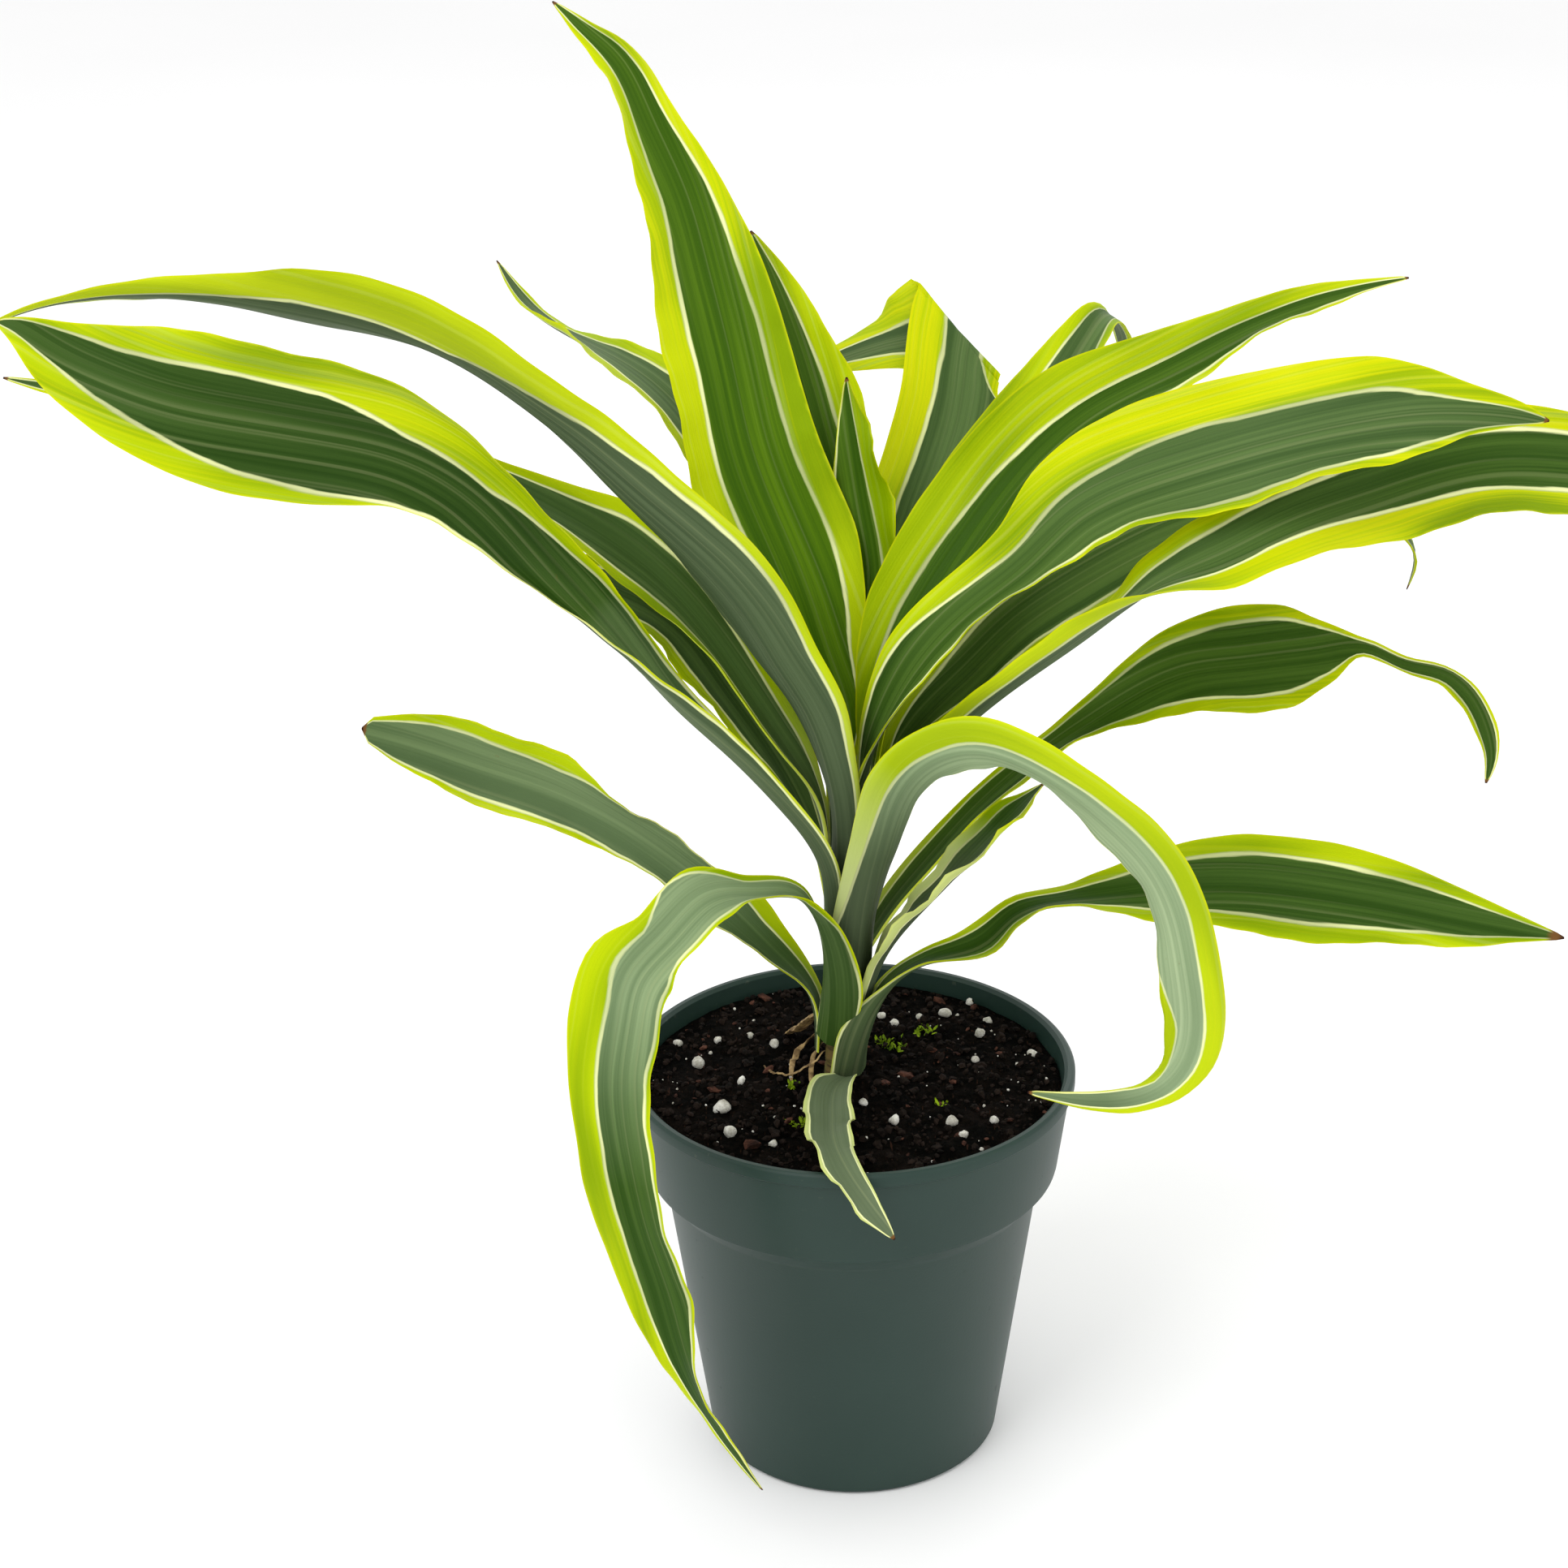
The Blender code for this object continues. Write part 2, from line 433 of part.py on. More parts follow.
def blade_points(leaf, columns):
    """Mid-surface of the blade in mm, as rows of columns + 1 points, with rows between the stations."""
    table = np.array([station + (0,) * (STATION_SIZE - len(station)) for station in leaf.stations], float)
    path = table[:, :3]
    spans = np.linalg.norm(np.diff(path, axis=0), axis=1)
    times = np.concatenate([[0.0], np.cumsum(spans)])
    times /= times[-1]
    counts = np.maximum(1, np.round(spans * MM / ROW_LENGTH)).astype(int)
    along = np.concatenate([
        np.linspace(start, end, count, endpoint=False)
        for start, end, count in zip(times, times[1:], counts)
    ] + [[1.0]])
    across = np.linspace(-1.0, 1.0, columns + 1)
    midrib, slope = curve_through(times, path, along)
    forward = slope / np.linalg.norm(slope, axis=1)[:, None]
    heading = math.radians(leaf.heading)
    left = np.array([-math.sin(heading), math.cos(heading), 0.0])
    side = left - (forward @ left)[:, None] * forward
    side /= np.linalg.norm(side, axis=1)[:, None]
    face = np.cross(forward, side)
    roll = np.radians(eased(times, table[:, 3], along))[:, None]
    side, face = np.cos(roll) * side + np.sin(roll) * face, np.cos(roll) * face - np.sin(roll) * side
    half_width = (eased(times, table[:, 4], along) / 2)[:, None]
    fold = np.radians(eased(times, table[:, 5], along))[:, None]
    radius = half_width / fold
    sideways = radius * np.sin(fold * across)
    lift = radius * (1 - np.cos(fold * across))
    middle = np.clip((along - RIPPLE_START) / RIPPLE_RISE, 0, 1) * np.clip((1 - along) / RIPPLE_END, 0, 1)
    phase = math.tau * RIPPLES * along[:, None] + np.where(across > 0, 0.0, FAR_EDGE_LAG)
    lift = lift + RIPPLE_HEIGHT * leaf.ripple * middle[:, None] * across**2 * np.sin(phase)
    slant = np.radians(eased(times, table[:, 6], along))[:, None]
    side = side + np.tan(slant) * forward
    return midrib[:, None] + side[:, None] * sideways[..., None] + face[:, None] * lift[..., None]


def build_leaf(name, leaf, collection, material):
    """One blade: a grid laid along its midrib, split into triangles, then given its thickness."""
    widest = max(station[4] for station in leaf.stations)
    columns = WIDE_COLUMNS if widest > WIDE_BLADE else NARROW_COLUMNS
    points = blade_points(leaf, columns) * MM
    rows = len(points) - 1
    shape = bmesh.new()
    bmesh.ops.create_grid(shape, x_segments=rows, y_segments=columns, size=1.0)
    for vert in shape.verts:
        row = round((vert.co.x + 1) / 2 * rows)
        column = round((vert.co.y + 1) / 2 * columns)
        vert.co = points[row, column]
    bmesh.ops.triangulate(shape, faces=shape.faces, quad_method="FIXED")
    mesh = bpy.data.meshes.new(name)
    shape.to_mesh(mesh)
    shape.free()
    obj = add_object(name, mesh, collection, material)
    solidify = obj.modifiers.new("thickness", "SOLIDIFY")
    solidify.thickness = LEAF_THICKNESS
    solidify.offset = 0.0
    return obj


def main():
    """Build the pot, the soil, the cane and every leaf."""
    clear_scene()
    parts = bpy.data.collections.new("potted_dracaena")
    cutters = bpy.data.collections.new("cutters")
    for collection in (parts, cutters):
        bpy.context.scene.collection.children.link(collection)
    materials = {name: make_material(name) for name in COLOURS}
    build_pot(parts, cutters, materials["pot_plastic"])
    build_soil(parts, cutters, materials["potting_soil"])
    tapered_tube("cane", 0.0, parts, materials["cane_bark"])
    for name, leaf in LEAVES.items():
        build_leaf(name, leaf, parts, materials["leaf_green"])


if __name__ == "__main__":
    main()
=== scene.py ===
"""Looks of the potted variegated dracaena: its pot, soil, cane and strap leaves, in a plain pale studio."""

from __future__ import annotations

import logging
import math
import random
from dataclasses import dataclass, field
from enum import Enum, IntEnum
from functools import cached_property

import bmesh
import bpy
import numpy as np
from mathutils import Matrix, Vector, noise

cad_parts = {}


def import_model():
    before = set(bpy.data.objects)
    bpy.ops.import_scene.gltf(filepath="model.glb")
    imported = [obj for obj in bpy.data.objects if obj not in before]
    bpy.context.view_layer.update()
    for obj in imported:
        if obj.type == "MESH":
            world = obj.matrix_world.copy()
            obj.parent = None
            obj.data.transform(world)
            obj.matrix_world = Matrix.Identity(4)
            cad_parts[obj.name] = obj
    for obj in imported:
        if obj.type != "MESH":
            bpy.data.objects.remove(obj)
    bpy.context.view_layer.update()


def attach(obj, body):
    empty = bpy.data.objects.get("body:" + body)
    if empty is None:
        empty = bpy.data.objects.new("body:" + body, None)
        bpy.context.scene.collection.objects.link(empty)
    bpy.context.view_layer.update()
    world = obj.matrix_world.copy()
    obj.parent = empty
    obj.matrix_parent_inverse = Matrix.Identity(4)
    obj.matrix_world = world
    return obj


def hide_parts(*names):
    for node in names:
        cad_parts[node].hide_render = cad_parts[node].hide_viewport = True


LOG = logging.getLogger("dracaena")
MM = 0.001
MERGE = MM / 1000
BODY = "root"

# Sharp angle in degrees of a body that is smooth all over
SMOOTH = 180.0

Colour = tuple[float, float, float, float]
Pair = tuple[float, float]


def srgb(red: int, green: int, blue: int) -> Colour:
    """Turn a screen colour into the linear colour that a shader takes.

    Args:
        red: its red, from 0 to 255.
        green: its green.
        blue: its blue.

    Returns:
        The linear colour, with an alpha of 1.
    """

    def linear(value: int) -> float:
        """Return one channel as a linear share."""
        share = value / 255
        return share / 12.92 if share <= 0.04045 else ((share + 0.055) / 1.055) ** 2.4

    return (linear(red), linear(green), linear(blue), 1.0)


class Wire:
    """A node's output that can be used in sums, with numbers or other wires on either side."""

    def __init__(self, shader: Shader, socket: bpy.types.NodeSocket) -> None:
        """Keep the shader that owns the socket."""
        self.shader = shader
        self.socket = socket

    def _sum(self, operation: str, first: Wire | float, second: Wire | float) -> Wire:
        """Add one Math node for two terms."""
        return self.shader.node("ShaderNodeMath", {0: first, 1: second}, operation=operation)

    def __add__(self, other: Wire | float) -> Wire:
        """Return self + other."""
        return self._sum("ADD", self, other)

    __radd__ = __add__

    def __sub__(self, other: Wire | float) -> Wire:
        """Return self - other."""
        return self._sum("SUBTRACT", self, other)

    def __rsub__(self, other: Wire | float) -> Wire:
        """Return other - self."""
        return self._sum("SUBTRACT", other, self)

    def __mul__(self, other: Wire | float) -> Wire:
        """Return self * other."""
        return self._sum("MULTIPLY", self, other)

    __rmul__ = __mul__


class Shader:
    """A Principled material put together from expressions on wires."""

    def __init__(self, name: str) -> None:
        """Start a material with its Principled surface.

        Args:
            name: the material's name.
        """
        self.material = bpy.data.materials.new(name)
        self.material.use_nodes = True
        self.tree = self.material.node_tree
        self.surface = self.tree.nodes["Principled BSDF"]

    def plug(self, socket: bpy.types.NodeSocket, value: Wire | float | tuple) -> None:
        """Link a wire to a socket, or set the socket to a value.

        Args:
            socket: the input.
            value: the wire or the value.
        """
        if isinstance(value, Wire):
            self.tree.links.new(value.socket, socket)
        else:
            socket.default_value = value

    def node(self, kind: str, values: dict | None = None, output: int = 0, **settings: object) -> Wire:
        """Add a node.

        Args:
            kind: the node's type.
            values: a value or a wire for each input, by name or number.
            output: the output that is returned.
            settings: the node's own properties.

        Returns:
            The chosen output.
        """
        made = self.tree.nodes.new(kind)
        for name, value in settings.items():
            setattr(made, name, value)
        for key, value in (values or {}).items():
            self.plug(made.inputs[key], value)
        return Wire(self, made.outputs[output])

    def mix(self, share: Wire | float, first: Wire | Colour, second: Wire | Colour) -> Wire:
        """Blend two colours by a share from 0 to 1."""
        return self.node("ShaderNodeMix", {0: share, 6: first, 7: second}, output=2, data_type="RGBA")

    def step(self, value: Wire, low: float | Wire, high: float | Wire) -> Wire:
        """Rise smoothly from 0 to 1 as a value goes from low to high."""
        bounds = {"Value": value, "From Min": low, "From Max": high}
        return self.node("ShaderNodeMapRange", bounds, interpolation_type="SMOOTHSTEP")

    def noise(self, where: Wire, scale: float, detail: float = 2.0, rough: float = 0.5) -> Wire:
        """Read smooth noise of about 0 to 1 at a place."""
        values = {"Vector": where, "Scale": scale, "Detail": detail, "Roughness": rough}
        return self.node("ShaderNodeTexNoise", values)

    def scaled(self, where: Wire, factors: tuple[float, float, float]) -> Wire:
        """Stretch a place by a factor along each axis."""
        return self.node("ShaderNodeVectorMath", {0: where, 1: factors}, operation="MULTIPLY")

    def height(self, where: Wire) -> Wire:
        """Take the third coordinate of a place."""
        return self.node("ShaderNodeSeparateXYZ", {0: where}, output=2)

    def attribute(self, name: str) -> Wire:
        """Read one of the mesh's own number attributes."""
        return self.node("ShaderNodeAttribute", output=2, attribute_name=name)

    def place(self) -> Wire:
        """Read the point of the object, in metres."""
        return self.node("ShaderNodeTexCoord", output=3)

    def bump(self, height: Wire, depth: float, strength: float = 1.0) -> None:
        """Emboss the surface by a height of 0 to 1 that stands for a depth in metres."""
        values = {"Height": height, "Distance": depth, "Strength": strength}
        self.plug(self.surface.inputs["Normal"], self.node("ShaderNodeBump", values))

    def finish(self, colour: Wire, roughness: Wire | float, gloss: float = 0.3) -> bpy.types.Material:
        """Plug in the colour and the roughness, and set how strongly the surface mirrors.

        Args:
            colour: the base colour.
            roughness: the roughness.
            gloss: the specular level.

        Returns:
            The finished material.
        """
        self.plug(self.surface.inputs["Base Color"], colour)
        self.plug(self.surface.inputs["Roughness"], roughness)
        self.surface.inputs["Specular IOR Level"].default_value = gloss
        return self.material


# Leaves: the way each points in degrees from +X seen from above, then its stations from seat to tip.
# A station is x, y and z in mm, the roll about the midrib in degrees, the width in mm and the half-angle
# of the section in degrees. A seventh number turns the section in the blade's own plane, in degrees,
# where the blade folds over at an angle
LEAVES = {
    "leaf_tall": (115, (
        (-1, 2.5, 178, 0, 5, 50), (-0.5, 4, 187, 0, 10, 50), (-4.5, 8, 200.5, 0, 19, 38),
        (-9, 12, 214, 0, 29, 28), (-14, 16, 226.5, 0, 35, 24), (-22, 21, 247, 0, 34, 22),
        (-26, 26, 264.5, 0, 32, 20), (-31.5, 33, 287, 0, 28, 18), (-36, 39, 302.5, 0, 21, 18),
        (-43.5, 46, 318.5, 0, 14, 18), (-50.5, 52, 331, 0, 11, 16), (-57.5, 55, 337, 5, 6, 14),
        (-64.5, 58, 343, 10, 1, 12),
    )),
    "leaf_young": (65, (
        (1.5, 4.5, 174, 0, 5, 40), (3.5, 11, 196, 0, 11, 55), (6, 15, 206.5, 0, 15, 45),
        (7.5, 18, 215.5, 0, 17, 38), (5.5, 23, 231.5, 0, 16, 35), (3, 27, 247, 0, 10, 30),
        (1, 31, 261.5, 0, 1, 25),
    )),
    "leaf_tall_behind": (95, (
        (-1, 5.5, 172, 0, 5, 40), (0.5, 16, 190.5, 0, 8, 50), (2, 21, 205, 0, 11, 45),
        (1.5, 26, 219, 0, 17, 38), (-1.5, 31.5, 235, 0, 21, 30), (-5.5, 37, 251, 0, 22, 25),
        (-11, 43, 269, 0, 15, 20), (-16, 48, 281.5, 0, 8, 15), (-20.5, 52, 291, 0, 1, 12),
    )),
    "leaf_back_fold": (140, (
        (1, 4.5, 157, -61, 6, 40), (6, 17, 185.5, -64, 8, 50), (10, 27, 204, -62, 13, 45),
        (14.5, 38, 218.5, -62, 19, 35), (20.5, 50, 231, -61, 24, 26), (26.5, 64.9, 244.8, -44, 25, 18, 14),
        (27.9, 70.5, 251.8, -44, 24.5, 10, 33), (28.7, 73.8, 256.1, -44.8, 24, 6, 43.1),
        (29.3, 76, 258.8, -28.1, 23, 4, 43.2), (29.4, 77, 259.5, 13.4, 23, 4, 42),
        (29.1, 78.3, 259.7, 65.5, 23, 4, 40.2), (28.2, 79.2, 259.6, 96.3, 23, 4, 44.6),
        (27, 79.6, 259.6, 115, 23, 4, 42.7), (20.7, 79.8, 258.7, 112.3, 22.5, 7, 27.4),
        (12, 80.4, 256.5, 134, 17.5, 10, 12), (3.2, 81.1, 253.6, 134, 11.5, 12),
        (-5.4, 81.6, 250.7, 134, 5.5, 12), (-12.8, 82.1, 248.9, 134, 1, 12),
    )),
    "leaf_back_right": (50, (
        (3.5, 4.5, 165, 5, 5, 38), (8.5, 11, 190, 10, 7, 50), (13, 15, 204, 10, 10, 45),
        (21, 23, 219, 10, 14, 38), (31.5, 33, 234, 10, 20, 30), (43.5, 44, 245, 10, 21, 30),
        (53.5, 55, 255, 10, 18, 28), (60.5, 64, 263, 12, 12.5, 26), (64.5, 70, 265, 16, 9, 24),
        (67.5, 74, 262, 20, 8, 22), (69.5, 78, 256.5, 20, 6.5, 22), (70.5, 82, 249.5, 20, 1, 20),
    )),
    "leaf_upper_right": (15, (
        (5, -0.5, 169, -10, 5, 40), (6, -1, 191, 15, 11, 50), (10.5, 0, 203.5, 35, 19, 45),
        (16.5, 3, 215, 42, 25, 40), (26.5, 9, 229, 42, 27, 36), (38.5, 16, 243, 42, 27, 35),
        (54, 25, 254.5, 42, 24, 30), (72, 36, 260.5, 42, 18, 25), (94, 48, 267.5, 42, 11, 20),
        (116.5, 59, 272, 42, 6, 20), (136.5, 67, 273.5, 42, 1, 15),
    )),
    "leaf_right_big": (0, (
        (3, -3.5, 158, -45, 6, 40), (4, -8, 180.5, 0, 10, 55), (8, -12, 195, 20, 14.5, 48),
        (16, -16, 211.5, 32, 17.5, 42), (26.5, -18, 223.5, 34, 17, 36), (38, -19, 233.5, 38, 19, 38),
        (49, -19, 244.5, 41, 27, 42), (60, -19, 250.5, 44, 31, 44), (70.5, -20, 254.5, 44, 33.5, 38),
        (91, -23, 261.5, 42, 31, 30), (110.5, -29, 267.5, 45, 27, 26), (120, -32, 269.5, 48, 20, 22),
        (129.5, -34, 270, 50, 12, 20), (139.5, -36, 269.5, 50, 6, 18), (145.5, -37, 268.5, 50, 1, 15),
    )),
    "leaf_right_inner": (5, (
        (5.5, 0.5, 152, 0, 5, 35), (9, 0, 174, 20, 7, 45), (15.5, 2.5, 186, 30, 14, 50),
        (27.5, 6, 197.5, 38, 20, 40), (38.5, 9, 207.5, 40, 24, 35), (52, 12, 216, 40, 24, 35),
        (67, 15, 223.5, 40, 22, 30), (82, 18, 228.5, 42, 17, 30), (99, 19, 231.5, 40, 13, 30),
        (113.5, 18, 232, 30, 9, 25), (124.5, 17, 229, 25, 5, 25), (131, 16, 222, 20, 5, 20),
        (129.5, 14, 213.5, 10, 1, 15),
    )),
    "leaf_right_outer": (-15, (
        (4.5, -4, 145, -10, 5, 38), (9.5, -10, 171, -5, 9, 50), (20.5, -17, 189, -15, 16, 50),
        (34.5, -25, 205.5, -20, 18, 45), (51, -32, 221, -15, 20, 40), (67.5, -36, 234.5, 10, 22, 36),
        (78, -36, 239, 35, 22, 32), (90.5, -33, 244, 48, 22, 28), (101.5, -28, 246.5, 50, 23, 26),
        (113, -22, 248, 50, 25, 26), (124.5, -16, 249.5, 50, 26, 26), (142, -9, 250.5, 50, 27, 26),
        (159.5, -3, 248, 50, 24, 24), (177, 2, 244, 50, 15, 20), (192, 5, 239.5, 50, 1, 15),
    )),
    "leaf_mid_right": (8, (
        (3, 1.5, 128, 10, 8, 51), (11, 6, 139, 10, 11, 55), (19.5, 10, 148, 10, 12, 50),
        (29, 14, 157.5, 10, 11, 45), (39, 17, 166, 15, 10, 40), (49.5, 19, 174, 25, 9, 35),
        (58.5, 21, 179.5, 40, 11, 30), (69, 22, 186, 50, 16, 25), (81.5, 23, 191, 50, 23, 22),
        (93.5, 23, 192.5, 50, 28, 20), (103, 22, 194, 50, 26, 20), (112.5, 20, 196, 50, 16, 20),
        (121.5, 18, 197.5, 55, 5, 20), (130.5, 16, 194, 62, 4.5, 20), (139, 14, 192.5, 75, 5, 22),
        (145.5, 13, 187.5, 88, 5.5, 24), (149.5, 11, 180, 92, 5.5, 24), (151, 9.5, 172.5, 92, 3.5, 22),
        (150, 8, 167, 92, 1, 20),
    )),
    "leaf_short_right": (-12, (
        (4, -2, 118, -10, 8, 38), (8, -8, 133, 0, 11, 55), (13, -11, 142, 0, 13, 50),
        (20.5, -11, 150.5, 5, 14, 50), (28, -9, 158, 15, 15, 45), (36.5, -5, 165.5, 20, 12, 40),
        (45.5, 0, 172.5, 20, 1, 30),
    )),
    "leaf_low_right": (-5, (
        (1.5, -4, 99, -40, 8, 38), (5, -6, 115, -20, 9, 55), (9.5, -3, 122, 0, 8, 50),
        (15.5, 0, 125.5, 0, 8, 45), (23, 3, 127, 20, 8, 35), (32.5, 6, 129.5, 40, 10, 30),
        (39.5, 8, 135, 30, 9, 30), (49.5, 8, 138, 10, 10, 30), (61.5, 6, 140.5, 20, 14, 30),
        (74, 4, 143, 40, 19, 26), (83, 2, 144.5, 48, 22, 24), (96, 0, 145, 50, 25, 22),
        (109, -3, 144.5, 50, 25, 20), (124, -5, 142.5, 50, 22, 20), (142.5, -8, 139.5, 50, 14, 20),
        (157.5, -10, 137, 50, 6, 20), (166.5, -11, 135.5, 50, 1, 15),
    )),
    "leaf_front_right": (-40, (
        (1.5, -5.5, 123, -22, 9, 43), (2.5, -10, 139.5, -15, 13, 55), (4, -14, 152, -20, 14, 50),
        (7, -19, 167, -30, 15, 50), (11, -24, 181.5, -42, 16, 45), (18, -30, 191.5, -55, 15.5, 40),
        (27.5, -36, 196, -62, 17, 38), (41.5, -42, 192.5, -70, 17, 34), (54.5, -46, 183.5, -80, 16, 30),
        (64, -49, 174, -90, 15.5, 28), (70, -50, 161.5, -98, 15.5, 26), (73, -51, 147.5, -100, 15.5, 25),
        (74.5, -50, 136.5, -100, 15, 25), (73.5, -49, 126.5, -98, 13.5, 25), (69.5, -47.5, 119, -90, 9, 28),
        (63, -45, 114, -82, 6, 28), (53.5, -41, 111, -72, 4.5, 28), (39.5, -37, 111.5, -70, 1, 20),
    )),
    "leaf_front_left": (215, (
        (-5.5, -5, 108, 22, 9, 43), (-4.5, -10, 129, 5, 13, 55), (-7, -14, 143.5, -5, 12, 50),
        (-12, -20, 154, -15, 8.5, 45), (-22, -31, 160.5, -22, 9, 40), (-33.5, -43, 164.5, -26, 16, 32),
        (-42, -52, 159.5, -30, 15, 28), (-49, -59, 154, -35, 22, 26), (-51.5, -63, 145.5, -35, 22.5, 25),
        (-53.5, -66, 133, -35, 19.5, 25), (-53, -68, 120.5, -35, 18, 25), (-51.5, -69, 110, -35, 19, 25),
        (-49, -69, 96.5, -35, 18, 25), (-45, -68, 80, -35, 16.5, 25), (-41, -66, 61, -30, 10, 25),
        (-36, -63, 45.5, -25, 6, 25), (-23, -57, 17.5, -20, 1, 20),
    )),
    "leaf_left_mid": (175, (
        (-8, 2.5, 103, -10, 7, 36), (-9.5, 3, 117.5, -10, 8, 50), (-17, 3, 128, -30, 11, 45),
        (-28, 3, 141, -60, 14, 46), (-39.5, 3, 152, -90, 14, 52), (-52, 3, 162, -97, 15, 56),
        (-60.5, 3, 167.5, -94, 17.5, 42), (-69, 3, 172, -80, 18.5, 32), (-85.5, 2, 179, -68, 19, 26),
        (-100, 0, 185.5, -58, 13.5, 20), (-111.5, -2, 190, -50, 5, 15),
    )),
    "leaf_left_big": (190, (
        (-5.5, -4, 137, 15, 6, 40), (-7, -9.5, 158, 15, 11, 50), (-15.5, -14, 173.5, 15, 12, 58),
        (-27, -20, 189.5, 8, 14, 68), (-38, -25, 203, 2, 15.5, 74), (-47.5, -29, 216.5, -20, 15, 74),
        (-56.5, -32, 229.5, -60, 15.5, 74), (-66.5, -34, 243.5, -92, 18, 72),
        (-77, -35, 256.5, -98, 22.5, 60), (-92.5, -36, 267, -97, 28, 44), (-109, -36, 271.5, -93, 33, 36),
        (-126, -35, 274.5, -85, 34, 30), (-142.5, -34, 278, -75, 29.5, 26),
        (-154.5, -32, 282, -69, 22.5, 24), (-166, -30, 287.5, -65, 13.5, 22),
        (-172.5, -29, 291.5, -62, 6, 18), (-177, -28, 293, -62, 1, 15),
    )),
    "leaf_left_upper": (180, (
        (-2.5, -6, 150, 57, 7, 40), (-2.5, -10.5, 170.5, 45, 11, 55), (-5, -12.5, 184.5, 48, 14, 50),
        (-9.5, -12, 197, 50, 19, 48), (-15.5, -11, 207, 52, 21, 45), (-21.5, -9, 217, 52, 24, 42),
        (-28.5, -7, 226, 52, 26, 42), (-36.5, -5, 234, 48, 27, 42), (-48, -3, 244.5, 40, 28, 45),
        (-60, -1, 256, 30, 29.5, 50), (-72.5, 0, 266.5, 23, 32, 53), (-87, 1, 276, 24, 34, 52),
        (-104.5, 2, 282.5, 32, 33, 48), (-120.5, 3, 286, 38, 28, 44), (-136, 3, 289, 38, 16.5, 42),
        (-155, 2, 291, 36, 7.5, 38), (-169, 1, 290, 35, 5, 30), (-179.5, 0, 287.5, 35, 3, 30),
        (-187.5, -1, 284.5, 35, 1, 20),
    )),
    "leaf_back_left": (135, (
        (-3.5, 5, 155, -10, 5, 35), (-5, 12.5, 182, 0, 7, 50), (-11, 20, 203, 0, 14, 45),
        (-21, 31, 225.5, 0, 19, 40), (-32, 42, 242.5, 0, 20, 35), (-43.5, 53, 253.5, 0, 21, 30),
        (-54, 62, 258.5, 10, 18, 30), (-65.5, 72, 262, 20, 11, 30), (-76.5, 80, 268.5, 20, 7, 25),
        (-83, 86, 277, 20, 1, 20),
    )),
    "leaf_left_inner": (180, (
        (-5.5, 0, 149, 0, 5, 35), (-7.5, 0.5, 169, -10, 8, 45), (-15, 3, 182.5, -25, 15, 48),
        (-27, 6, 201.5, -30, 18, 45), (-36, 9, 213.5, -30, 22, 40), (-52, 12, 228, -36, 22, 38),
        (-65, 14, 236, -36, 15, 30), (-83, 15, 245.5, -30, 9, 30), (-104.5, 15, 255, -30, 6.5, 30),
        (-129.5, 13, 261.5, -30, 6, 30), (-155.5, 9, 265.5, -30, 5, 25), (-175.5, 5, 269.5, -30, 3.5, 20),
        (-185, 3, 272.5, -30, 1, 15),
    )),
    "leaf_left_dark": (160, (
        (-4.5, 3.5, 142, -20, 6, 35), (-8.5, 5.5, 159, -10, 8, 50), (-14, 10, 170.5, -25, 12, 48),
        (-21.5, 14, 182, -30, 17, 40), (-29.5, 18, 192.5, -30, 19, 35), (-36.5, 21, 202, -30, 19, 30),
        (-46, 23, 209.5, -30, 18, 30), (-57, 25, 214, -30, 15, 30), (-70.5, 25, 218, -30, 9, 25),
        (-82, 25, 221, -30, 1, 20),
    )),
    "leaf_front_small": (285, (
        (-1.5, -8, 100, 0, 7, 38), (-4, -13, 101, 0, 11, 45), (-6, -30, 101.5, 0, 12, 30),
        (-4.5, -50, 102.5, 0, 9, 25), (0.5, -60, 98.5, 0, 7, 20), (8, -62, 88.5, 0, 1, 15),
    )),
}


